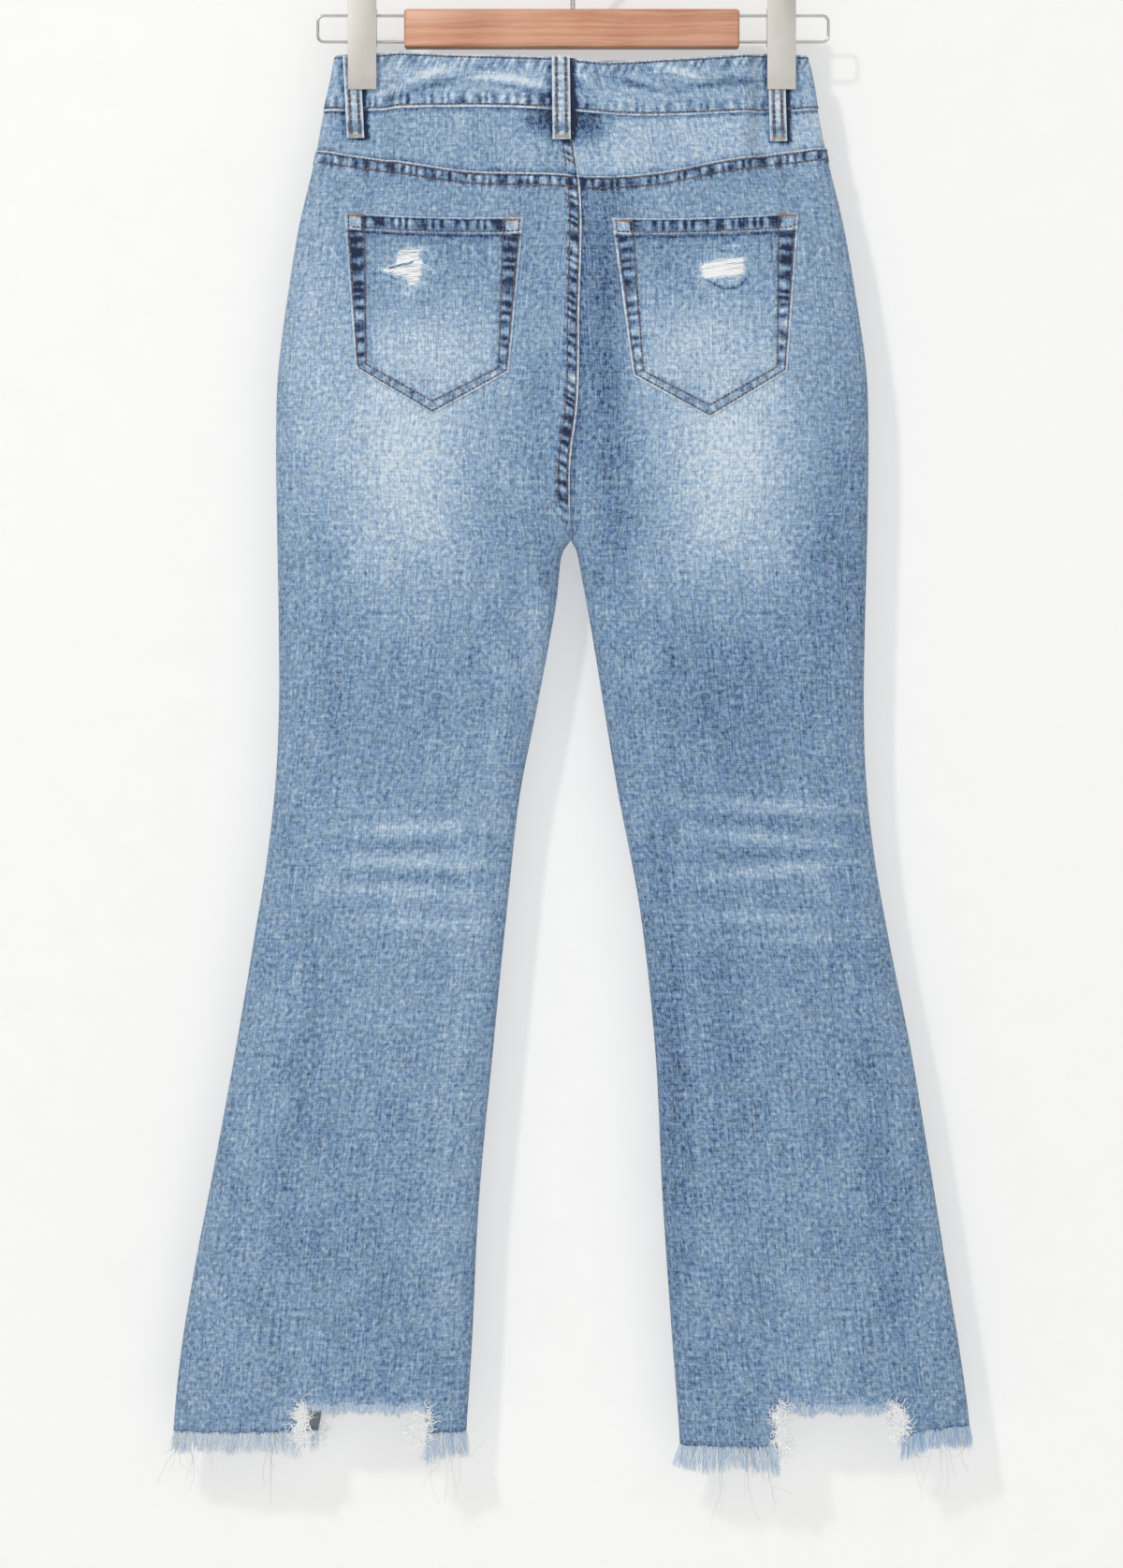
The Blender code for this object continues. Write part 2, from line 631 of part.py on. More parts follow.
def fringe(side, face, strip, finish, chance):
    """A narrow strip just under the cloth's edge, with four-sided tapered strands of uneven length."""
    hem = HEMS[side, face]
    stops = {"outseam": 0.0, "inseam": 1.0, "notch_from": hem.notch_from, "notch_to": hem.notch_to}
    start = stops[strip.start] + strip.start_clear
    end = stops[strip.end] - strip.end_clear
    edge = getattr(hem, strip.part) + SEAM_GAP
    girth = section(side, face, np.array([edge]))[2][0, -1]
    count = max(round((end - start) * girth / strip.pitch), 2)
    pitch = (end - start) / (count - 1 + STRAND_SHARE)
    columns = [Column(start + pitch * (i + root), 0) for i in range(count) for root in (0, STRAND_SHARE)]
    drops = np.array([[edge], [edge + STRIP]]) + np.zeros((1, len(columns)))
    shape = wall_shape(*walls(side, face, columns, drops))
    middle = (-HOOK_TO_WAIST - edge - STRIP / 2) * MM
    roots = [root for root in shape.faces if all(vert.co.z < middle for vert in root.verts)]
    roots.sort(key=lambda root: side * root.calc_center_median().x, reverse=True)
    for tip in roots[::2]:
        length = strip.length * chance.uniform(SHORTEST, LONGEST) / 2
        lean = chance.uniform(-LEAN, LEAN)
        for taper in (0.72, 0.55):
            tip = bmesh.ops.extrude_discrete_faces(shape, faces=[tip])["faces"][0]
            centre = tip.calc_center_median()
            for vert in tip.verts:
                vert.co = centre + (vert.co - centre) * taper + Vector((lean, 0, -1)) * length * MM
            lean += chance.uniform(-WANDER, WANDER)
    finished(f"fringe_{SIDES[side]}_{FACES[face]}_{strip.part}", shape, finish)


def hanger_bar(finish):
    bpy.ops.mesh.primitive_cube_add(size=1)
    obj = bpy.context.object
    obj.name = obj.data.name = "hanger_bar"
    middle = (BAR_X[LEFT] + BAR_X[RIGHT]) / 2
    obj.location = Vector((middle, 0, (BAR_TOP_Z + BAR_BOTTOM_Z) / 2)) * MM
    obj.scale = Vector((BAR_X[RIGHT] - BAR_X[LEFT], BAR_THICK, BAR_TOP_Z - BAR_BOTTOM_Z)) * MM
    bpy.ops.object.transform_apply(location=False, rotation=False, scale=True)
    bevel = obj.modifiers.new("rounded edges", "BEVEL")
    bevel.width, bevel.segments = 2.0 * MM, 2
    own(obj, finish)


def own(obj, finish):
    """Moves a primitive to the model's collection and gives it its material."""
    for collection in list(obj.users_collection):
        collection.objects.unlink(obj)
    MODEL.objects.link(obj)
    obj.data.materials.append(finish)


def rod(name, points, radius, finish):
    """A round wire through points in millimetres."""
    data = bpy.data.curves.new(name, "CURVE")
    data.dimensions = "3D"
    data.bevel_depth = radius * MM
    data.bevel_resolution = 2
    data.use_fill_caps = True
    spline = data.splines.new("POLY")
    spline.points.add(len(points) - 1)
    for place, point in zip(spline.points, points):
        place.co = (*(Vector(point) * MM), 1)
    return add(name, data, finish)


def hanger_wires(finish):
    """On each side one wire leaves the bar's end, turns round and comes back."""
    for side, name in SIDES.items():
        start = BAR_X[side] + side * SEAM_GAP
        end = WIRE_END_X[side] - side * WIRE_CORNER
        points = [(start, 0, WIRE_Z[0])]
        for turn, height in ((90, WIRE_Z[0] - WIRE_CORNER), (0, WIRE_Z[1] + WIRE_CORNER)):
            for step in range(5):
                angle = math.radians(turn - step * 22.5)
                x = end + side * WIRE_CORNER * math.cos(angle)
                points.append((x, 0, height + WIRE_CORNER * math.sin(angle)))
        points.append((start, 0, WIRE_Z[1]))
        rod("hanger_wire_" + name, points, WIRE_RADIUS, finish)


def hanger_hook(finish):
    """A stem out of the bar's top that bends aside, over the rod and down to its tip."""
    centre = HOOK_WIRE - HOOK_RADIUS
    start = math.radians(HOOK_START)
    low = Vector((HOOK_RADIUS * math.cos(start), 0, centre + HOOK_RADIUS * math.sin(start)))
    neck = Vector((0, 0, BAR_TOP_Z + HOOK_STEM))
    points = [Vector((0, 0, BAR_TOP_Z + SEAM_GAP)), neck]
    ahead = neck + Vector((0, 0, HOOK_BEND))
    behind = low - Vector((-math.sin(start), 0, math.cos(start))) * HOOK_BEND
    for step in range(1, 6):
        part = step / 6
        points.append(neck * (1 - part) ** 3 + ahead * 3 * part * (1 - part) ** 2
                      + behind * 3 * part**2 * (1 - part) + low * part**3)
    for step in range(23):
        angle = math.radians(HOOK_START + (HOOK_END - HOOK_START) * step / 22)
        points.append(Vector((HOOK_RADIUS * math.cos(angle), 0, centre + HOOK_RADIUS * math.sin(angle))))
    rod("hanger_hook", points, HOOK_WIRE, finish)


PLATE = 1.2
PLATE_Y = {BACK: -8.2, FRONT: 6.4}
JAW_GAP = 0.3
FLANGE_LOW_Z = -104.6
FLANGE_DEPTH = 12.4
CLIP_BEND = 10.0
CLIP_LIP = 4.2
FLANGE_ABOVE, FLANGE_BELOW = 5.0, 3.0
SPRING_RADIUS = 2.6
SPRING_Z = -89.0
SPRING_Y = 1.6


def clips(metal):
    """Each clip is a back plate with two flanges on the wires, a front plate and the spring roll between."""
    cloth_half = PINCH_HALF + WAISTBAND_PROUD
    jaw_back = -(cloth_half + LOOP_CLEAR + LOOP_CLOTH + JAW_GAP)
    jaw_front = cloth_half + JAW_GAP
    low = -HOOK_TO_WAIST - CLIP_BOTTOM_DROP
    for side, name in SIDES.items():
        half = CLIP_WIDTH / 2
        behind, before = PLATE_Y[BACK], PLATE_Y[FRONT]
        back = [(behind, CLIP_TOP_Z), (behind, low + CLIP_BEND), (jaw_back - PLATE, low), (jaw_back, low),
                (behind + PLATE, low + CLIP_BEND), (behind + PLATE, CLIP_TOP_Z - PLATE),
                (behind + CLIP_LIP, CLIP_TOP_Z - PLATE), (behind + CLIP_LIP, CLIP_TOP_Z)]
        outer = slab("clip_" + name + "_back", side, back, -half, half, metal)
        inner_half = half - PLATE - SEAM_GAP
        front_top = CLIP_TOP_Z - FLANGE_BELOW
        front = [(jaw_front, low), (jaw_front + PLATE, low), (before, low + CLIP_BEND), (before, front_top),
                 (before - PLATE, front_top), (before - PLATE, low + CLIP_BEND)]
        slab("clip_" + name + "_front", side, front, -inner_half, inner_half, metal)
        flange_top, deep = WIRE_Z[0] + FLANGE_ABOVE, behind + FLANGE_DEPTH
        flange = [(behind + PLATE / 2, flange_top), (deep, flange_top), (deep, WIRE_Z[1] - FLANGE_BELOW),
                  (behind + PLATE / 2, FLANGE_LOW_Z)]
        for edge in (-half, half - PLATE):
            join(outer, slab("flange", side, flange, edge, edge + PLATE, metal))
        for height in WIRE_Z:
            join(outer, tunnel(side, height, WIRE_RADIUS + SEAM_GAP), "DIFFERENCE")
        bpy.ops.mesh.primitive_cylinder_add(vertices=14, radius=SPRING_RADIUS * MM,
                                            depth=2 * inner_half * MM, rotation=(0, math.pi / 2, 0))
        roll = bpy.context.object
        roll.name = roll.data.name = "clip_" + name + "_spring"
        roll.location = Vector((CLIP_X[side], SPRING_Y, SPRING_Z)) * MM
        own(roll, metal)


def slab(name, side, outline, start, end, finish):
    """A plate with an outline in y and z, from start to end along x from the clip's middle."""
    shape = bmesh.new()
    corners = [shape.verts.new(Vector((CLIP_X[side] + start, y, z)) * MM) for y, z in outline]
    face = shape.faces.new(corners)
    made = bmesh.ops.extrude_face_region(shape, geom=[face])
    moved = [item for item in made["geom"] if isinstance(item, bmesh.types.BMVert)]
    bmesh.ops.translate(shape, verts=moved, vec=Vector((end - start, 0, 0)) * MM)
    return finished(name, shape, finish)


def tunnel(side, height, radius):
    """A cutter along x for a wire."""
    bpy.ops.mesh.primitive_cylinder_add(vertices=12, radius=radius * MM, depth=2 * CLIP_WIDTH * MM,
                                        rotation=(0, math.pi / 2, 0))
    obj = bpy.context.object
    obj.location = Vector((CLIP_X[side], 0, height)) * MM
    return obj


def join(target, other, operation="UNION"):
    """Unites or cuts with another object, which stays as a hidden cutter."""
    other.hide_render = True
    other.display_type = "WIRE"
    for collection in list(other.users_collection):
        collection.objects.unlink(other)
    CUTTERS.objects.link(other)
    change = target.modifiers.new(other.name, "BOOLEAN")
    change.operation = operation
    change.object = other


def build():
    for obj in list(bpy.data.objects):
        bpy.data.objects.remove(obj)
    denim = material("denim", (0.16, 0.27, 0.44), 0.9)
    loop_denim = material("loop_denim", (0.40, 0.50, 0.62), 0.9)
    frayed = material("frayed_cotton", (0.72, 0.74, 0.76), 0.95)
    wood = material("cherry_wood", (0.50, 0.24, 0.14), 0.45)
    metal = material("satin_steel", (0.72, 0.70, 0.67), 0.35, 1.0)
    button = material("button_metal", (0.55, 0.42, 0.28), 0.35, 1.0)
    back_panels(denim)
    yokes(denim)
    front_panels(denim)
    hip_pieces(denim)
    waistband(denim)
    back_pockets(denim)
    belt_loops(loop_denim)
    waist_button(button)
    chance = np.random.default_rng(7)
    for side, face in HEMS:
        for strip in FRINGE:
            fringe(side, face, strip, frayed, chance)
    hanger_bar(wood)
    hanger_wires(metal)
    hanger_hook(metal)
    clips(metal)


MODEL = bpy.data.collections.new("flared jeans on a clip hanger")
CUTTERS = bpy.data.collections.new("cutters")
for made in (MODEL, CUTTERS):
    bpy.context.scene.collection.children.link(made)
build()
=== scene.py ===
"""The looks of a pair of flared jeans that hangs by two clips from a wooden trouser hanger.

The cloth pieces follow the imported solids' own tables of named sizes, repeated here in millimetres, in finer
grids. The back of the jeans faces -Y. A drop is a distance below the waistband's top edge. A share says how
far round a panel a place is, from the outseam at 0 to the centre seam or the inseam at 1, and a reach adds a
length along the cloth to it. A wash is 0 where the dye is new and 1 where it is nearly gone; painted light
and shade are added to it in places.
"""

import json
import math
from collections import namedtuple

import bpy
import numpy as np
from mathutils import Vector
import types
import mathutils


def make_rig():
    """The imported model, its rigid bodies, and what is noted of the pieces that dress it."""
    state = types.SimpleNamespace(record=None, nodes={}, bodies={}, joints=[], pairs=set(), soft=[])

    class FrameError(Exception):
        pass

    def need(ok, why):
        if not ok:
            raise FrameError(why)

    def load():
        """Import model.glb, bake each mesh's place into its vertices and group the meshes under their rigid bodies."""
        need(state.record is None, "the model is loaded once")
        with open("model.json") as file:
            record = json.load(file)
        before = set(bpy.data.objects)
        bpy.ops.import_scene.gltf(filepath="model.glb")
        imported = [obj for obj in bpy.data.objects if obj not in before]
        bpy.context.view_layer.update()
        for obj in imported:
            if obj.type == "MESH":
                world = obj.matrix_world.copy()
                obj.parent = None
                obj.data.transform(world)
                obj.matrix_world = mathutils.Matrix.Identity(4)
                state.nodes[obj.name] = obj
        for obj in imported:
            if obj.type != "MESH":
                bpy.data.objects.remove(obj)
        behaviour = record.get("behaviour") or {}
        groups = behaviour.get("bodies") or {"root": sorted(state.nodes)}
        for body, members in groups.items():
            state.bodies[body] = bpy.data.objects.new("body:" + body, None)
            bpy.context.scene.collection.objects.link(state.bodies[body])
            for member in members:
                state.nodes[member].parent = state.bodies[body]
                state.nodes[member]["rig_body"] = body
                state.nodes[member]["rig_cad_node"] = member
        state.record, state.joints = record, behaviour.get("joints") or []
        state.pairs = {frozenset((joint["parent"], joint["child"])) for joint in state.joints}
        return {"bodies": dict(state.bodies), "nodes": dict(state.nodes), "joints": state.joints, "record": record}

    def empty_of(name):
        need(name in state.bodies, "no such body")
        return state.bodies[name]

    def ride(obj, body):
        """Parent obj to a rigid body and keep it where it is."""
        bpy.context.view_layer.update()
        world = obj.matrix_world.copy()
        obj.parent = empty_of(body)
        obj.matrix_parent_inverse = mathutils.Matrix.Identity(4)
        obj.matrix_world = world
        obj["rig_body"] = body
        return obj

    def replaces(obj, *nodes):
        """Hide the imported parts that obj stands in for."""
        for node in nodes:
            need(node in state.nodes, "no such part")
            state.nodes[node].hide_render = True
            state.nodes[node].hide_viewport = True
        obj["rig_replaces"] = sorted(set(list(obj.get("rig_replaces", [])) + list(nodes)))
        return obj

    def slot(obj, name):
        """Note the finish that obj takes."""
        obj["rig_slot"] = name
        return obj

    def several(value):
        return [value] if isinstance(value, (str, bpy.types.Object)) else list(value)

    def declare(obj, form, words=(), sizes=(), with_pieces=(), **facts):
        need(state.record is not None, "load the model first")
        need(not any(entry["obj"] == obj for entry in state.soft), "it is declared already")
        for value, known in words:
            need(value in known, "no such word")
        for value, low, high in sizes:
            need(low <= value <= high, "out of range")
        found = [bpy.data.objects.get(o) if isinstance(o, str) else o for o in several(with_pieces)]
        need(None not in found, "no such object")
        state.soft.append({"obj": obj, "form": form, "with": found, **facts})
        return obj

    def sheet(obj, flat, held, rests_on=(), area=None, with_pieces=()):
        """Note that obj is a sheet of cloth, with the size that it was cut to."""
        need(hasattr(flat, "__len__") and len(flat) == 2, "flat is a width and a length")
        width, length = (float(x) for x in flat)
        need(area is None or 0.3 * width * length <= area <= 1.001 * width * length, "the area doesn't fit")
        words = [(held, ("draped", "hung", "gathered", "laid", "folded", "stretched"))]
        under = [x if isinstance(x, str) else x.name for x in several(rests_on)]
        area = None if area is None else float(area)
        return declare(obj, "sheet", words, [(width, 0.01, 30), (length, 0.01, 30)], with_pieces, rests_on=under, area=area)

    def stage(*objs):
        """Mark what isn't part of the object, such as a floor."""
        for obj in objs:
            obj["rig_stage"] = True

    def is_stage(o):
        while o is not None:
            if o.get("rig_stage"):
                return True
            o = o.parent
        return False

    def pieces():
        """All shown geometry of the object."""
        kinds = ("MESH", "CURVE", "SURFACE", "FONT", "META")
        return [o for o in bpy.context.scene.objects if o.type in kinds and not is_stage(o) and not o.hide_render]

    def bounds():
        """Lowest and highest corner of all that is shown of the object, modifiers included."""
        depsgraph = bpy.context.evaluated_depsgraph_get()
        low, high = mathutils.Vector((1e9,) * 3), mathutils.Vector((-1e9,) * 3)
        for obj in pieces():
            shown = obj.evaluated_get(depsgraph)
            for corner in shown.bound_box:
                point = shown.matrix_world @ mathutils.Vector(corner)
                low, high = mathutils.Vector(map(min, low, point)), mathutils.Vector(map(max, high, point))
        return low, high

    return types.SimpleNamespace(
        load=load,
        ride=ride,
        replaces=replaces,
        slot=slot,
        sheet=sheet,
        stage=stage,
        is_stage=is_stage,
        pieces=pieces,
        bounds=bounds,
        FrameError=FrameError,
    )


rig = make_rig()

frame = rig.load()
CAD_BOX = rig.bounds()
chance = np.random.default_rng(11)

MM = 0.001

HOOK_TO_WAIST = 109.3
SEAM_GAP = 0.3
CROTCH_DROP = 362.6

DENIM = 1.2
WAISTBAND_CLOTH = 2.2
WAISTBAND_PROUD = 0.6
POCKET_CLOTH = 1.1
LOOP_CLOTH = 1.6
LOOP_CLEAR = 0.7
FELL_RAISE, FELL_WIDTH, FELL_EDGE = 0.8, 10.2, 0.8
EDGE_ROUND = 0.35
SHARP_ANGLE = math.radians(50)

LEFT, RIGHT = -1, 1
BACK, FRONT = -1, 1
SIDES = {LEFT: "left", RIGHT: "right"}
FACES = {BACK: "back", FRONT: "front"}


def table(kind, *rows):
    """A list of rows that have names for their columns."""
    return [kind(*row) for row in rows]


Outline = namedtuple("Outline", "drop left right")
OUTSEAM = table(
    Outline,
    (-4, -175.5, 172.5), (0, -177.0, 174.5), (20, -181.3, 180.0), (42, -186.2, 183.4), (76, -192.5, 190.4),
    (126, -204.4, 202.3), (182, -213.5, 212.1), (238, -220.5, 219.8), (294, -221.9, 221.2),
    (350, -221.2, 220.5), (434, -219.8, 218.4), (490, -219.8, 217.7), (546, -222.6, 219.8),
    (602, -228.9, 226.1), (658, -238.0, 235.9), (742, -252.0, 252.7), (826, -267.4, 266.7),
    (910, -283.5, 280.0), (966, -292.6, 289.1), (1032, -298.9, 297.5), (1065, -300.0, 299.0),
)
INSEAM = table(
    Outline,
    (CROTCH_DROP, -1.5, -1.2), (367, -5.5, 1.6), (374, -8.4, 3.8), (386, -10.0, 6.0), (406, -12.0, 9.8),
    (434, -16.8, 14.7), (490, -27.3, 23.8), (546, -38.5, 33.0), (630, -48.3, 49.0), (742, -59.5, 61.6),
    (854, -70.0, 67.2), (966, -75.6, 74.9), (1032, -79.8, 79.8), (1065, -82.0, 81.5),
)

Centre = namedtuple("Centre", "drop back front")
CENTRE_SEAM = table(
    Centre,
    (-4, -8.0, 0.0), (40, -4.0, 0.0), (64, 0.7, 0.0), (95, 5.0, 0.0), (193, 5.0, 0.0), (271, 2.8, -0.5),
    (300, -1.2, -1.0), (CROTCH_DROP, -1.4, -1.4),
)

Depth = namedtuple("Depth", "drop back front centre_back centre_front")
DEPTH = table(
    Depth,
    (-4, 9.0, 11.0, 1.0, 1.0), (40, 13.0, 14.0, 1.0, 1.0), (120, 20.0, 17.0, 1.0, 1.0),
    (220, 25.0, 18.0, 1.0, 1.0), (285, 25.0, 18.0, 0.985, 1.0), (318, 23.5, 18.0, 0.84, 0.97),
    (340, 22.5, 18.0, 0.58, 0.78), (354, 21.8, 17.8, 0.30, 0.42), (CROTCH_DROP, 21.5, 17.6, 0.0, 0.0),
    (420, 19.5, 17.0, 0.0, 0.0), (560, 17.5, 16.0, 0.0, 0.0), (800, 17.0, 16.0, 0.0, 0.0),
    (1065, 15.0, 15.0, 0.0, 0.0),
)

Line = namedtuple("Line", "drop x")
WAIST_TOP = table(
    Line,
    (0.0, -178), (-1.8, -150), (0.0, -90), (2.6, -8), (5.6, 26), (4.4, 56), (1.8, 100), (-1.2, 150),
    (0.0, 176),
)
WAIST_BOTTOM = table(
    Line,
    (42.0, -187), (42.0, -20), (43.5, 0), (47.0, 42), (46.5, 86), (43.5, 141), (41.2, 184),
)
YOKE_SEAM = table(
    Line,
    (70.6, -194), (79.8, -135), (88.0, -80), (90.6, -8), (92.0, 8), (90.0, 58), (79.8, 113), (71.4, 169),
    (69.0, 190),
)
WAIST_FRONT_TOP = table(
    Line,
    (0.0, -178), (-1.8, -150), (2.6, -60), (3.0, -6), (1.6, 24), (1.6, 60), (-1.2, 150), (0.0, 176),
)
WAIST_FRONT_BOTTOM = table(Line, (42.0, -187), (46.0, 0), (41.2, 184))
WAIST_EDGES = ((BACK, WAIST_TOP, WAIST_BOTTOM), (FRONT, WAIST_FRONT_TOP, WAIST_FRONT_BOTTOM))
WAISTBAND_FOLDS_END = 50

SCOOP_REACH = 92.0
SCOOP_DEPTH = 76.0
SCOOP_POWER = 2.2
HIP_SHARE = 0.55
HIP_UNDER = 9.0
HIP_INSET = DENIM + SEAM_GAP + 0.5

CLIP_X = {LEFT: -157.2, RIGHT: 155.8}
CLIP_BOTTOM_DROP = 26.0
PINCH_HALF = 2.6
PINCH_FLAT = 14.0
PINCH_FADE = 15.0
PINCH_REACH = 110

Spot = namedtuple("Spot", "x drop angle length width size")
FOLDS = {
    BACK: table(
        Spot,
        (76, 720, 92, 190, 10, -2.4), (-205, 800, 98, 150, 14, -1.6), (-120, 930, 92, 110, 20, 2.0),
        (150, 900, 86, 130, 20, 1.8), (235, 930, 84, 110, 16, -1.6), (-70, 318, 24, 60, 9, -1.8),
        (72, 322, -22, 60, 9, -1.8),
    ),
    FRONT: table(
        Spot,
        (-70, 330, 30, 70, 9, -2.0), (70, 334, -28, 66, 9, -2.0), (-150, 760, 92, 200, 14, -2.2),
        (165, 840, 88, 180, 16, 2.0), (-110, 960, 92, 90, 14, -1.6),
    ),
}

WIRE_RADIUS = 1.05
WIRE_Z = (-79.2, -98.8)
WIRE_END_X = {LEFT: -190.6, RIGHT: 191.2}
WIRE_CORNER = 4.5
BAR_X = {LEFT: -126.0, RIGHT: 124.6}
BAR_TOP_Z = -75.0
HOOK_RADIUS = 22.5
HOOK_WIRE = 1.8
HOOK_START, HOOK_END = -52.0, 198.0
HOOK_STEM = 12.0
HOOK_BEND = 9.0


def at(rows, column, drop, by="drop"):
    """A smooth curve through one column of a table, read at each drop."""
    knots = np.array([getattr(row, by) for row in rows], float)
    values = np.array([getattr(row, column) for row in rows], float)
    slopes = np.gradient(values, knots)
    drop = np.clip(drop, knots[0], knots[-1])
    index = np.clip(np.searchsorted(knots, drop) - 1, 0, len(knots) - 2)
    span = knots[index + 1] - knots[index]
    part = (drop - knots[index]) / span
    rest = 1 - part
    return (
        values[index] * rest**2 * (1 + 2 * part)
        + values[index + 1] * part**2 * (1 + 2 * rest)
        + span * part * rest * (slopes[index] * rest - slopes[index + 1] * part)
    )


def line_at(rows, x):
    """The drop of a seam or an edge at each x."""
    return at(rows, "drop", x, by="x")


def smooth(part):
    """0 up to 0 and 1 from 1 on, with a soft change between."""
    part = np.clip(part, 0, 1)
    return part * part * (3 - 2 * part)


def bell(part):
    """1 at 0, falling off smoothly on both sides."""
    return np.exp(-(part**2))


def near(spot, x, drop, power=2.0, tight=1.0):
    """1 at the middle of a long spot, falling off along it and across it."""
    turn = math.radians(spot.angle)
    along = (x - spot.x) * math.cos(turn) + (drop - spot.drop) * math.sin(turn)
    across = (drop - spot.drop) * math.cos(turn) - (x - spot.x) * math.sin(turn)
    return np.exp(-tight * np.abs(along / spot.length) ** power - (across / spot.width) ** 2)


def folds(face, x, drop):
    """How far the largest folds stand out of the cloth."""
    return sum(fold.size * near(fold, x, drop, tight=1.5) for fold in FOLDS[face])


def pinch(side, x, half_depth, drop):
    """The clips press the back and the front together near the top."""
    beside = 1 - smooth((np.abs(x - CLIP_X[side]) - PINCH_FLAT) / PINCH_FADE)
    high = 1 - smooth((drop - CLIP_BOTTOM_DROP - 4) / PINCH_REACH)
    pressed = np.minimum(half_depth, PINCH_HALF)
    return half_depth + (pressed - half_depth) * beside * high


SAMPLES = 150


def section(side, face, drop):
    """x, y and the length so far, from the outseam to the centre or the inseam, a row for each drop."""
    name, where = SIDES[side], FACES[face]
    outer = side * at(OUTSEAM, name, drop)
    centre = side * at(CENTRE_SEAM, where, drop) + SEAM_GAP / 2
    inner = np.where(drop < CROTCH_DROP, centre, side * at(INSEAM, name, drop))
    depth = at(DEPTH, where, drop)
    middle = np.clip(at(DEPTH, "centre_" + where, drop), 0, 1)
    middle = np.where(drop < CROTCH_DROP, middle, 0.0)
    width = outer - inner
    power = 2 * EDGE_ROUND * width / (1 + np.sqrt(1 - middle**2)) / depth
    end = (1 - middle**2) ** (1 / power)
    tip = (1 - (SEAM_GAP / 2 / depth) ** 2) ** (1 / power)
    half_width = width / (1 + end)
    end = np.minimum(end, tip)
    part = (1 - np.cos(np.linspace(0, math.pi, SAMPLES))) / 2
    across = -tip[:, None] + (tip + end)[:, None] * part
    x = side * (outer[:, None] - half_width[:, None] * (1 + across))
    half = depth[:, None] * np.sqrt(np.clip(1 - np.abs(across) ** power[:, None], 0, 1))
    half = np.maximum(pinch(side, x, half, drop[:, None]), SEAM_GAP / 2)
    y = face * half
    steps = np.hypot(np.diff(x, axis=1), np.diff(y, axis=1))
    length = np.concatenate([np.zeros((len(drop), 1)), np.cumsum(steps, axis=1)], axis=1)
    return x, y, length


Hem = namedtuple("Hem", "outer notch inner notch_from notch_to dip")
# Drops of the torn edge on both sides of the notch and in it, the notch's ends as shares, and a dip.
HEMS = {
    (LEFT, BACK): Hem(1029.0, 1007.5, 1029.5, 0.430, 0.845, -1.2),
    (LEFT, FRONT): Hem(1030.5, 1014.0, 1031.0, 0.495, 0.860, 0.0),
    (RIGHT, BACK): Hem(1025.5, 1008.0, 1039.5, 0.250, 0.655, 5.0),
    (RIGHT, FRONT): Hem(1028.0, 1015.0, 1040.5, 0.235, 0.650, 0.0),
}
Pocket = namedtuple("Pocket", "side top_inner top_outer low_inner low_outer point")
POCKETS = table(
    Pocket,
    (LEFT, (-36.4, 123.2), (-170.1, 119.7), (-47.6, 238.7), (-161.0, 236.0), (-104.3, 270.2)),
    (RIGHT, (28.7, 123.9), (168.0, 119.7), (44.8, 241.5), (158.9, 238.0), (101.5, 273.0)),
)
POCKET_HEM = 12.6
POCKET_HEM_RAISE = 0.6
POCKET_SAG = 2.0


def outline_of(pocket):
    """The sides and the foot of a pocket, from its top inner corner to its top outer one."""
    return [pocket.top_inner, pocket.low_inner, pocket.point, pocket.low_outer, pocket.top_outer]


def pocket_height(pocket):
    return pocket.low_inner[1] - pocket.top_inner[1]


def point_share(pocket):
    """How far across a pocket its lowest point is."""
    return (pocket.point[0] - pocket.low_inner[0]) / (pocket.low_outer[0] - pocket.low_inner[0])


def patch_point(pocket, across, down):
    """x and drop of a place on a patch pocket, both shares from its top inner corner."""
    top = np.array([np.interp(across, [0, 1], ends) for ends in zip(pocket.top_inner, pocket.top_outer)])
    low = np.array([np.interp(across, [0, 1], ends) for ends in zip(pocket.low_inner, pocket.low_outer)])
    stops = [0, point_share(pocket), 1]
    point = np.interp(across, stops, [pocket.low_inner[1], pocket.point[1], pocket.low_outer[1]]) - low[1]
    top[1] += POCKET_SAG * 4 * across * (1 - across)
    return top + (low - top) * down + np.array([0, point * down**3])


Loop = namedtuple("Loop", "name side face top_x low_x top low width")
LOOPS = table(
    Loop,
    ("centre", LEFT, BACK, -9.0, -8.2, 1.8, 65.0, 13.4),
    ("left", LEFT, BACK, -165.5, -162.0, 0.5, 62.5, 13.0),
    ("right", RIGHT, BACK, 152.0, 153.6, 0.5, 65.0, 12.6),
    ("front_left", LEFT, FRONT, -78.0, -78.0, 4.0, 62.0, 13.0),
    ("front_right", RIGHT, FRONT, 78.0, 78.0, 4.0, 62.0, 13.0),
)
STEP_DOWN = 51.0


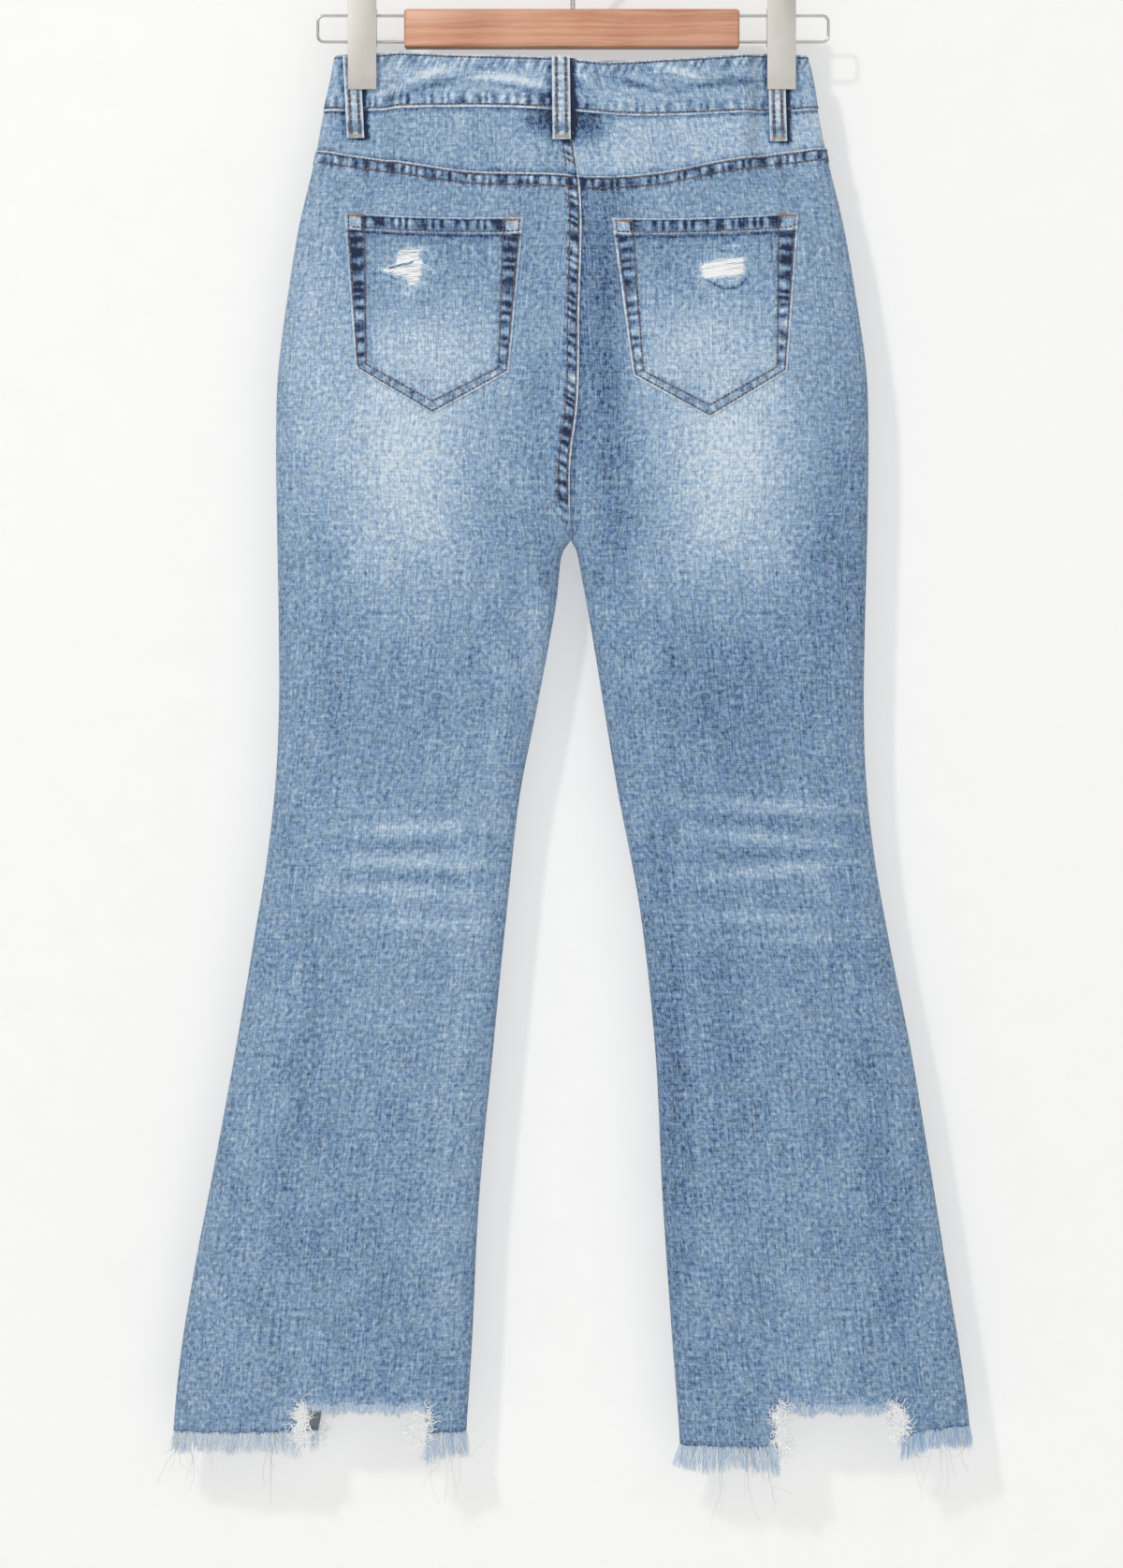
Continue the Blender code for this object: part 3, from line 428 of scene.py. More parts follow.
def trace(side, face, share, reach, drop):
    """Points of the cloth's outer face, their length from the outseam and the whole girth there."""
    shape = np.broadcast_shapes(np.shape(share), np.shape(reach), np.shape(drop))
    share, reach, drop = (np.broadcast_to(v, shape).astype(float).ravel() for v in (share, reach, drop))
    x, y, length = section(side, face, drop)
    total = length[:, -1]
    along = np.clip(share * total + reach, 0, total)
    index = np.clip((length <= along[:, None]).sum(axis=1) - 1, 0, SAMPLES - 2)
    row = np.arange(len(drop))
    step = length[row, index + 1] - length[row, index]
    part = (along - length[row, index]) / np.maximum(step, 1e-9)
    px = x[row, index] + (x[row, index + 1] - x[row, index]) * part
    py = y[row, index] + (y[row, index + 1] - y[row, index]) * part
    inset = smooth(np.minimum(along, total - along) / 12)
    py = py + face * (folds(face, px, drop) + creases(face, px, drop)) * inset
    points = np.stack([px, py, -HOOK_TO_WAIST - drop], axis=-1)
    return points.reshape(shape + (3,)), along.reshape(shape), total.reshape(shape)


CREASES = {
    BACK: table(
        Spot,
        (-108, 15, -20, 34, 3.2, 0.55), (-96, 21, -18, 40, 3.5, -0.5), (-26, 30, 14, 26, 3.0, -0.6),
        (-30, 23, 12, 30, 3.0, 0.5), (8, 18, 44, 10, 2.4, 0.45), (34, 13, 26, 22, 2.6, -0.55),
        (48, 19, 22, 30, 2.6, 0.55), (56, 25, 14, 34, 2.8, -0.5), (76, 12, 18, 24, 2.6, 0.45),
        (110, 22, -8, 30, 3.0, -0.4), (-60, 18, 4, 30, 2.8, 0.35), (-24, 62, 62, 18, 5.0, -0.6),
        (22, 60, -58, 20, 5.0, -0.6), (-28, 330, 56, 46, 6.0, -0.7), (30, 336, -56, 46, 6.0, -0.7),
        (-40, 372, 44, 50, 8.0, 0.6), (44, 380, -42, 50, 8.0, 0.6), (-120, 577, -2, 52, 4.0, 0.5),
        (-116, 602, 1, 50, 4.0, 0.5), (-120, 623, 3, 56, 4.5, -0.5), (-110, 648, 2, 46, 4.0, 0.4),
        (140, 560, 3, 60, 4.0, 0.5), (136, 584, 5, 58, 4.0, -0.5), (150, 609, -6, 60, 4.0, 0.6),
        (146, 644, 2, 50, 4.0, 0.4), (160, 660, -4, 50, 4.0, -0.4), (-228, 1003, -6, 22, 2.6, -0.5),
        (-150, 988, 8, 26, 2.8, -0.45), (-120, 1000, 34, 20, 2.0, 0.45), (130, 996, -4, 30, 3.0, -0.45),
        (250, 990, 6, 26, 2.8, -0.45), (60, 700, 82, 60, 7.0, -0.5),
    ),
    FRONT: table(
        Spot,
        (-60, 352, 40, 60, 6.0, -0.7), (62, 356, -38, 60, 6.0, -0.7), (-90, 372, 22, 70, 7.0, 0.6),
        (92, 376, -22, 70, 7.0, 0.6), (-128, 590, 2, 56, 4.5, 0.6), (-120, 616, -3, 52, 4.5, -0.6),
        (-130, 642, 2, 56, 4.5, 0.5), (140, 584, -3, 58, 4.5, 0.6), (146, 612, 4, 56, 4.5, -0.6),
        (138, 640, -2, 52, 4.5, 0.5), (-60, 22, 6, 40, 3.0, -0.5), (70, 24, -8, 40, 3.0, 0.5),
    ),
}
RIPPLES = [
    (chance.uniform(*over), chance.uniform(*down), chance.uniform(0, 6.28), chance.uniform(*size))
    for count, over, down, size in (
        (9, (-0.05, 0.05), (0.03, 0.2), (0.03, 0.09)),
        (6, (0.05, 0.2), (-0.03, 0.03), (0.04, 0.10)),
    )
    for _ in range(count)
]


def creases(face, x, drop):
    """Smaller folds than the solids have, and a faint unevenness all over."""
    height = sum(fold.size * near(fold, x, drop) for fold in CREASES[face])
    for over, down, start, size in RIPPLES:
        height += size * np.sin(over * x + down * drop + start)
    return height


def unit(vectors):
    """The same directions, each one long."""
    return vectors / np.maximum(np.linalg.norm(vectors, axis=-1, keepdims=True), 1e-9)


def lengths(points):
    """How far along a line each of its points is."""
    steps = np.linalg.norm(np.diff(points, axis=0), axis=1)
    return np.concatenate([[0], np.cumsum(steps)])


def read_along(places, stops, points):
    """The points of a line at other places along it, a column at a time."""
    return np.stack([np.interp(places, stops, column) for column in np.transpose(points)], axis=-1)


def grid_normals(points, turn):
    """Outward directions of a grid of points, from their neighbours."""
    return unit(np.cross(np.gradient(points, axis=1), np.gradient(points, axis=0)) * turn)


def keep_side(points, face, least=SEAM_GAP / 2):
    """Keeps a wall's or a thread's points on their own side of the leg."""
    points[..., 1] = face * np.maximum(points[..., 1] * face, least)
    return points


MEET_ROUNDS = 5


def meet(side, face, share, reach, line):
    """The drops at which columns of a panel meet a seam or an edge whose drop is given by x."""
    drop = np.zeros_like(share)
    for _ in range(MEET_ROUNDS):
        drop = line(trace(side, face, share, reach, drop)[0][:, 0])
    return drop


def seam(rows, offset=0.0):
    """A seam's drop by x, half a gap above or below."""
    return lambda x: line_at(rows, x) + offset * SEAM_GAP / 2


def scoop(side, under=0.0):
    """The front panel's top edge: the waist seam, then down round the pocket mouth to the outseam."""

    def drop(x):
        outer = side * at(OUTSEAM, SIDES[side], SCOOP_DEPTH)
        across = np.clip((outer - side * x) / SCOOP_REACH, 0, 1)
        round_mouth = (1 - across**SCOOP_POWER) ** (1 / SCOOP_POWER)
        return line_at(WAIST_FRONT_BOTTOM, x) + SEAM_GAP / 2 + SCOOP_DEPTH * round_mouth + under

    return drop


NOTCH_STEP = 0.004


def hem_drop(hem, share):
    """The cloth's lower edge by its share of the girth: a notch is chewed out between two whole stretches."""
    stops = [hem.notch_from - NOTCH_STEP, hem.notch_from + NOTCH_STEP,
             hem.notch_to - NOTCH_STEP, hem.notch_to + NOTCH_STEP]
    outer = hem.outer + hem.dip * bell((share - hem.notch_from) / 0.09)
    drop = np.interp(share, stops, [0, 1, 1, 0])
    drop = drop * hem.notch + (1 - drop) * np.where(share < hem.notch_from + NOTCH_STEP, outer, hem.inner)
    worn = 0.7 * np.sin(share * 61) + 0.5 * np.sin(share * 143 + 1.0) + 0.35 * np.sin(share * 320)
    inside = (share > hem.notch_from) & (share < hem.notch_to)
    return drop + worn * np.where(inside, 1.3, 0.5) - 0.6


# Extra columns beside the outseam and beside the inner edge, where the cloth turns and a seam is raised.
OUTER_REACHES = [0, 0.8, 2, 3.6, 6, 9.5]
INNER_REACHES = [-11.6, -10.9, -10.2, -8, -5.6, -3.4, -1.6, 0]
LEG_GIRTH = 187


def columns_of(side, face, spacing):
    """Shares and reaches of a fine panel's columns, closer together along its edges and the hem's notch."""
    hem = HEMS[side, face]
    shares = np.linspace(0.07, 0.92, round(LEG_GIRTH / spacing))
    steps = [edge + step for edge in (hem.notch_from, hem.notch_to) for step in (-NOTCH_STEP, NOTCH_STEP)]
    shares = shares[np.min(np.abs(shares[:, None] - np.array(steps)), axis=1) > NOTCH_STEP]
    shares = np.sort(np.concatenate([shares, steps]))
    share = np.concatenate([np.zeros(len(OUTER_REACHES)), shares, np.ones(len(INNER_REACHES))])
    reach = np.concatenate([OUTER_REACHES, np.zeros(len(shares)), INNER_REACHES])
    return share, reach


def roping(along, across, strength):
    """A seam's map for the puckers beside it: metres along it and from its edge, and their strength."""
    return np.stack([along * MM, across * MM, strength], axis=-1)


def laid(across, down):
    """Where points lie on the flat cloth, in metres, for its weave."""
    return np.stack([across, down], axis=-1) * MM


class Panel:
    """A fine grid of one panel: its drops, points, lengths along the cloth and its finish's maps."""

    def __init__(self, side, face, share, reach, drops, proud=0.0, thick=DENIM):
        self.side, self.face, self.drops, self.proud, self.thick = side, face, drops, proud, thick
        self.share = share[None, :] + np.zeros_like(drops)
        self.reach = reach[None, :] + np.zeros_like(drops)
        self.base, self.along, self.total = trace(side, face, self.share, self.reach, drops)
        self.facing = grid_normals(self.base, -side * face)
        self.flatten_edges()
        self.raised = np.zeros_like(drops)
        self.maps = {"wash": wash(face, self.base[..., 0], drops)}

    def flatten_edges(self):
        """Turns the directions at the panel's long edges into the plane of the seam there."""
        edge = (self.share <= 0) & (self.reach == 0)
        edge |= (self.share >= 1) & (self.reach == 0) & (self.drops >= CROTCH_DROP)
        centre = (self.share >= 1) & (self.reach == 0) & (self.drops < CROTCH_DROP)
        self.facing[edge, 1] = 0
        self.facing[centre, 0] = 0
        self.facing = unit(self.facing)

    def rope(self, name, along, across, strength):
        self.maps[name] = roping(along, across, strength + np.zeros_like(self.drops))

    def walls(self):
        """The grids of the outer wall and of the inner one."""
        heights = self.proud + self.raised, self.proud - self.thick + 0 * self.raised
        return [keep_side(self.base + self.facing * height[..., None], self.face) for height in heights]

    def make(self, name, finish, node):
        """The panel as a piece that replaces one solid."""
        outer, inner = self.walls()
        lay = laid(self.along - self.total / 2, self.drops)
        obj = shell(name, outer, inner, self.side * self.face > 0, finish, lay, self.maps)
        return stands_for(obj, [node])


def shell(name, outer, inner, turned, finish, lay, maps, holes=None):
    """A closed wall between two grids of points, with a rim round its edge and round every hole in it."""
    rows, columns = outer.shape[:2]
    count = rows * columns
    index = np.arange(count).reshape(rows, columns)
    quads = np.stack([index[:-1, :-1], index[:-1, 1:], index[1:, 1:], index[1:, :-1]], axis=-1).reshape(-1, 4)
    if holes is not None:
        quads = quads[~holes.reshape(-1)]
    if turned:
        quads = quads[:, ::-1]
    ends = np.stack([quads, np.roll(quads, -1, axis=1)], axis=-1).reshape(-1, 2)
    codes, reverse = ends[:, 0] * count + ends[:, 1], ends[:, 1] * count + ends[:, 0]
    rim = ends[~np.isin(codes, reverse)]
    walls = np.stack([rim[:, 1], rim[:, 0], rim[:, 0] + count, rim[:, 1] + count], axis=-1)
    quads = np.concatenate([quads, quads[:, ::-1] + count, walls])
    used, quads = np.unique(quads, return_inverse=True)
    quads = quads.reshape(-1, 4)
    points = np.concatenate([outer.reshape(-1, 3), inner.reshape(-1, 3)])[used] * MM
    mesh = bpy.data.meshes.new(name)
    mesh.from_pydata(points.tolist(), [], quads.tolist())
    places = np.tile(lay.reshape(-1, 2), (2, 1))[used]
    uv = mesh.uv_layers.new(name="cloth")
    uv.data.foreach_set("uv", places[quads.reshape(-1)].astype(np.float32).ravel())
    paint(mesh, "inside", (used >= count).astype(float))
    for key, values in maps.items():
        values = values.reshape(count, -1)
        paint(mesh, key, np.tile(values, (2, 1))[used])
    mesh.shade_smooth()
    mesh.set_sharp_from_angle(angle=SHARP_ANGLE)
    return add(name, mesh, finish)


def paint(mesh, name, values):
    """An attribute on a mesh's points: one number or three for each."""
    values = np.asarray(values, np.float32)
    single = values.ndim == 1 or values.shape[1] == 1
    layer = mesh.attributes.new(name, "FLOAT" if single else "FLOAT_VECTOR", "POINT")
    layer.data.foreach_set("value" if single else "vector", values.ravel())


def linked(name, data):
    """A new object in the scene."""
    obj = bpy.data.objects.new(name, data)
    bpy.context.scene.collection.objects.link(obj)
    return obj


def add(name, mesh, finish):
    """A piece of the part, with its finish."""
    mesh.materials.append(finish)
    obj = linked(name, mesh)
    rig.ride(obj, "root")
    return obj


def stands_for(obj, nodes, slot="denim"):
    """Says which solids a piece replaces and which of the record's finishes it takes."""
    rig.replaces(obj, *nodes)
    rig.slot(obj, slot)
    return obj


AT_ONCE = 4000
NEIGHBOUR = 1.2


def height_on(side, face, x, drop):
    """The cloth's outer points and normals under given x and drop, found along the section."""
    shape = np.shape(x)
    x, drop = np.ravel(x).astype(float), np.ravel(drop).astype(float)
    reach = np.zeros_like(x)
    for some in np.array_split(np.arange(len(x)), max(len(x) // AT_ONCE, 1)):
        across, _, length = section(side, face, drop[some])
        rows = zip(x[some], across, length)
        reach[some] = [np.interp(-side * place, -side * row, line) for place, row, line in rows]

    def beside(over, down):
        return trace(side, face, 0.0, reach + over, drop + down)[0]

    points = beside(0, 0)
    ahead = beside(NEIGHBOUR, 0) - beside(-NEIGHBOUR, 0)
    below = beside(0, NEIGHBOUR) - beside(0, -NEIGHBOUR)
    facing = unit(np.cross(ahead, below) * (-side * face))
    return points.reshape(shape + (3,)), facing.reshape(shape + (3,))


def on_either_side(face, x, drop):
    """The cloth's points and normals where the places lie on both sides of the centre seam."""
    (left, left_facing), (right, right_facing) = (height_on(side, face, x, drop) for side in SIDES)
    beyond = (x > at(CENTRE_SEAM, FACES[face], drop))[..., None]
    return np.where(beyond, right, left), np.where(beyond, right_facing, left_facing)


def tubes(name, lines, radii, finish, slot="frayed_cotton", sides=3, tints=None, depth=1.0):
    """Thin threads, each along a line of points in millimetres, tapered by its radii, as one mesh."""
    points, quads, caps, shades = [], [], [], []
    base = 0
    angles = np.arange(sides) * 2 * math.pi / sides
    for number, (line, radius) in enumerate(zip(lines, radii)):
        line = np.asarray(line, float)
        way = unit(np.gradient(line, axis=0))
        aside = unit(np.cross(way, np.array([0.31, 0.9, 0.13])))
        up = np.cross(way, aside)
        radius = np.broadcast_to(radius, len(line))[:, None, None]
        ring = aside[:, None] * np.cos(angles)[:, None] + up[:, None] * np.sin(angles)[:, None]
        points.append((line[:, None, :] + ring * radius * [1, depth, 1]).reshape(-1, 3))
        grid = base + np.arange(len(line) * sides).reshape(len(line), sides)
        across = np.roll(grid, -1, axis=1)
        quads.append(np.stack([grid[:-1], across[:-1], across[1:], grid[1:]], axis=-1).reshape(-1, 4))
        caps += [grid[0, ::-1].tolist(), grid[-1].tolist()]
        shades.append(np.full(len(line) * sides, 0.5 if tints is None else tints[number]))
        base += len(line) * sides
    mesh = bpy.data.meshes.new(name)
    mesh.from_pydata((np.concatenate(points) * MM).tolist(), [], np.concatenate(quads).tolist() + caps)
    paint(mesh, "tint", np.concatenate(shades))
    mesh.shade_smooth()
    obj = add(name, mesh, finish)
    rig.slot(obj, slot)
    return obj


# Where a stitch bends along its length, how high it lies there and how thick it is.
STITCH_STOPS = np.array([0, 0.18, 0.5, 0.82, 1])
STITCH_HEIGHTS = np.array([-1.4, 0.25, 0.5, 0.25, -1.4])
STITCH_TAPER = np.array([0.6, 1, 1, 1, 0.6])


def sew(name, rows, finish, radius, pitch=3.1, share=0.86, depth=1.0):
    """Short stitches along rows of (points, normals, lift): each dips into the cloth at its ends."""
    lines = []
    for points, facing, lift in rows:
        length = lengths(points)
        for start in np.arange(0.3, length[-1] - pitch * share, pitch):
            places = start + pitch * share * STITCH_STOPS
            heights = lift + radius * depth * STITCH_HEIGHTS
            out = unit(read_along(places, length, facing))
            lines.append(read_along(places, length, points) + out * heights[:, None])
    radii = [radius * STITCH_TAPER] * len(lines)
    shades = chance.uniform(0, 1, len(lines))
    tubes(name, lines, radii, finish, "denim", sides=4, tints=shades, depth=depth)


class Signal:
    """A node's output: an expression on signals adds the Math nodes that work it out."""

    def __init__(self, finish, socket):
        self.finish, self.socket = finish, socket

    def maths(self, operation, *others):
        return self.finish.node("Math", {"operation": operation}, dict(enumerate((self, *others))))

    def __add__(self, other):
        return self.maths("ADD", other)

    def __sub__(self, other):
        return self.maths("SUBTRACT", other)

    def __rsub__(self, other):
        return (self * -1.0) + other

    def __mul__(self, other):
        return self.maths("MULTIPLY", other)

    def step(self, low, high):
        """0 below low and 1 above high, with a soft change between."""
        settings = {"interpolation_type": "SMOOTHSTEP", "clamp": True}
        return self.finish.node("MapRange", settings, {0: self, 1: low, 2: high})


class Finish:
    """A material: every node of it comes from one method."""

    def __init__(self, name, roughness=0.9, metallic=0.0, **fixed):
        self.material = bpy.data.materials.new(name)
        self.material.use_nodes = True
        self.tree = self.material.node_tree
        self.shader = self.tree.nodes["Principled BSDF"]
        for key, value in {"Roughness": roughness, "Metallic": metallic, **fixed}.items():
            self.shader.inputs[key.replace("_", " ")].default_value = value

    def node(self, kind, settings=None, inputs=None, output=0):
        made = self.tree.nodes.new("ShaderNode" + kind)
        for key, value in (settings or {}).items():
            setattr(made, key, value)
        for key, value in (inputs or {}).items():
            if isinstance(value, Signal):
                self.tree.links.new(value.socket, made.inputs[key])
            else:
                made.inputs[key].default_value = value
        return Signal(self, made.outputs[output])

    def ramp(self, share, *stops):
        """A colour for each share, through stops of a place and a colour."""
        made = self.node("ValToRGB", {}, {0: share})
        elements = made.socket.node.color_ramp.elements
        while len(elements) < len(stops):
            elements.new(0.5)
        for element, (place, colour) in zip(elements, stops):
            element.position, element.color = place, (*colour, 1)
        return made

    def noise(self, place, stretch, detail=2.0, roughness=0.5):
        """A noise whose grain is finer along an axis with a larger stretch, centred on 0."""
        spread = self.node("VectorMath", {"operation": "MULTIPLY"}, {0: place, 1: stretch})
        inputs = {"Vector": spread, "Scale": 1.0, "Detail": detail, "Roughness": roughness}
        return self.node("TexNoise", {}, inputs) - 0.5

    def parts(self, vector):
        return [self.node("SeparateXYZ", {}, {0: vector}, output=k) for k in range(3)]

    def attribute(self, name, output=2):
        return self.node("Attribute", {"attribute_name": name}, {}, output)

    def mix(self, share, low, high):
        return self.node("Mix", {"data_type": "RGBA"}, {0: share, 6: low, 7: high}, output=2)

    def feed(self, key, signal):
        self.tree.links.new(signal.socket, self.shader.inputs[key])

    def colour(self, signal):
        self.feed("Base Color", signal)

    def rough(self, signal):
        self.feed("Roughness", signal)

    def bump(self, height, strength, distance):
        inputs = {"Height": height, "Strength": strength, "Distance": distance}
        self.feed("Normal", self.node("Bump", {}, inputs))


def linear(red, green, blue):
    """A colour given as it shows on a screen, from 0 to 255; none of it may be near black."""
    return tuple(((part / 255 + 0.055) / 1.055) ** 2.4 for part in (red, green, blue))


INDIGO = [
    (0.00, linear(26, 40, 70)),
    (0.16, linear(62, 88, 128)),
    (0.34, linear(98, 128, 164)),
    (0.50, linear(124, 153, 184)),
    (0.68, linear(154, 179, 204)),
    (0.85, linear(182, 202, 220)),
    (1.00, linear(214, 224, 234)),
]
STONE = [
    (0.00, linear(30, 40, 64)),
    (0.34, linear(106, 130, 156)),
    (0.50, linear(130, 155, 180)),
    (0.68, linear(160, 181, 199)),
    (1.00, linear(216, 224, 230)),
]


PUCKER_PITCH = 0.0080
TWILL_PITCH = 0.0009


def washed_denim():
    """Stonewashed indigo twill: its wash with painted light and shade, puckered seams, worn edges, painted shade in
    the stitch grooves, marl, slubs and weave.
    """
    finish = Finish("washed indigo denim", roughness=0.92, Sheen_Weight=0.12, Sheen_Roughness=0.5)
    cloth = finish.node("UVMap", {"uv_map": "cloth"})
    across, along, _ = finish.parts(cloth)
    marl = finish.noise(cloth, (330, 270, 0), detail=5.0, roughness=0.68)
    mottle = finish.noise(cloth, (34, 22, 0), detail=3.0, roughness=0.55)
    slub = finish.noise(cloth, (760, 30, 0), detail=2.0)
    weft = finish.noise(cloth, (60, 680, 0), detail=2.0)
    dashes = finish.noise(cloth, (900, 210, 0), detail=1.0)
    grain = finish.noise(cloth, (1100, 1000, 0), detail=1.0)
    value = finish.attribute("wash") + marl * 1.45 + mottle * 0.26 + slub * 0.58 + weft * 0.42
    value = value + dashes * 0.46 + grain * 0.42
    height = marl * 0.25 + slub * 0.2
    for name in ("seam_a", "seam_b"):
        place = finish.attribute(name, output=1)
        length, edge, strength = finish.parts(place)
        drift = finish.noise(finish.node("CombineXYZ", {}, {0: length, 1: strength}), (42, 0, 0), detail=1.0)
        uneven = finish.noise(finish.node("CombineXYZ", {}, {0: length, 1: edge}), (75, 90, 0), detail=2.0)
        wave = (length * (2 * math.pi / PUCKER_PITCH) + drift * 22.0).maths("SINE")
        band = edge.step(0.0012, 0.0032) * (1.0 - edge.step(0.0072, 0.0138)) * strength
        lip = (1.0 - edge.step(0.0005, 0.0019)) * strength
        # Painted shade: the groove along a stitch row is darker.
        groove = edge.step(0.0010, 0.0020) * (1.0 - edge.step(0.0024, 0.0036)) * strength
        puckers = (wave * 0.8 + uneven * 3.6) * band
        value = value + puckers * 0.34 - band * 0.15 + lip * (uneven * 0.6 + 0.36) - groove * 0.20
        height = height + puckers * 0.9 + lip * 0.6
    dulled = finish.noise(cloth, (120, 80, 0), detail=2.0).step(-0.12, 0.16) * 0.8
    outside = finish.mix(dulled, finish.ramp(value, *INDIGO), finish.ramp(value, *STONE))
    # The inner face: pale grey, painted darker than the cloth itself to stand for the shade inside the legs.
    pale = finish.ramp(value * 0.6 + 0.25, (0.1, linear(78, 84, 98)), (0.9, linear(172, 176, 182)))
    finish.colour(finish.mix(finish.attribute("inside"), outside, pale))
    twill = ((across + along) * (2 * math.pi / TWILL_PITCH)).maths("SINE")
    finish.rough(value * -0.06 + 0.94)
    finish.bump(height + twill * 0.12 + weft * 0.25, 0.55, 0.0006)
    return finish.material


# A painted glow: threads give off a little light of their own, at this strength times how loose they are, so that the
# white and frayed ones look brighter.
PAINTED_THREAD_GLOW = 0.12
Thread = namedtuple("Thread", "name dark light roughness fuzz loose", defaults=(0.7, 0.0, 0.0))
THREADS = {
    "seam": Thread("copper brown seam thread", (72, 62, 70), (138, 116, 113)),
    "loop": Thread("grey brown loop thread", (84, 78, 88), (136, 124, 130)),
    "rust": Thread("rust orange bartack thread", (158, 102, 68), (206, 150, 112)),
    "cream": Thread("cream bartack thread", (190, 158, 112), (236, 214, 176)),
    "white": Thread("white weft threads", (232, 234, 237), (254, 254, 254), 0.9, 0.8, 1.0),
    "frayed": Thread("frayed warp threads", (138, 186, 238), (238, 248, 255), 0.9, 0.6, 0.4),
    "raw": Thread("unbleached loose threads", (206, 201, 190), (240, 237, 229), 0.9),
}


def spun(kind):
    """Spun thread: each strand has its own shade and a fine twist; loose cotton lets light through and has a faint
    painted glow.
    """
    cotton = THREADS[kind]
    finish = Finish(cotton.name, roughness=cotton.roughness, Sheen_Weight=cotton.fuzz, Sheen_Roughness=0.4,
                    Subsurface_Weight=cotton.loose, Subsurface_Radius=(1, 1, 1), Subsurface_Scale=0.001,
                    Emission_Color=(1, 1, 1, 1), Emission_Strength=cotton.loose * PAINTED_THREAD_GLOW)
    place = finish.node("TexCoord", {}, {}, output=3)
    twist = finish.noise(place, (1400, 1400, 900), detail=1.0)
    share = finish.attribute("tint") + twist * 0.5
    finish.colour(finish.ramp(share, (0.0, linear(*cotton.dark)), (1.0, linear(*cotton.light))))
    finish.bump(twist, 0.3, 0.0003)
    return finish.material


def oiled_wood():
    """Red-brown wood with its grain along the bar."""
    finish = Finish("oiled cherry wood", roughness=0.42, Coat_Weight=0.15, Coat_Roughness=0.3)
    place = finish.node("TexCoord", {}, {}, output=3)
    bend = finish.noise(place, (9, 30, 60), detail=2.0)
    x, y, z = finish.parts(place)
    bent = finish.node("CombineXYZ", {}, {0: x, 1: y, 2: z + bend * 0.010})
    growth = finish.noise(bent, (3, 90, 320), detail=4.0, roughness=0.6)
    pores = finish.noise(bent, (60, 900, 2200), detail=2.0, roughness=0.6)
    figure = finish.noise(place, (16, 12, 18), detail=1.0)
    share = growth * 1.2 + pores * 0.6 + figure * 0.7 + 0.58
    stops = [(0.0, linear(146, 88, 64)), (0.35, linear(182, 120, 90)), (0.6, linear(200, 144, 114)),
             (1.0, linear(224, 172, 142))]
    finish.colour(finish.ramp(share, *stops))
    finish.rough(pores * 0.3 + 0.44)
    finish.bump(pores + growth * 0.5, 0.15, 0.0004)
    return finish.material


def metal(name, dark, light, roughness, brushed):
    """Metal with fine lines along its brushing and a faint cloudiness."""
    finish = Finish(name, roughness=roughness, metallic=1.0)
    place = finish.node("TexCoord", {}, {}, output=3)
    lines = finish.noise(place, brushed, detail=2.0, roughness=0.6)
    clouds = finish.noise(place, (60, 60, 40), detail=2.0)
    share = lines * 0.5 + clouds * 0.5 + 0.5
    finish.colour(finish.ramp(share, (0.2, dark), (0.8, light)))
    finish.rough(lines * 0.12 + roughness)
    finish.bump(lines, 0.08, 0.0002)
    return finish.material


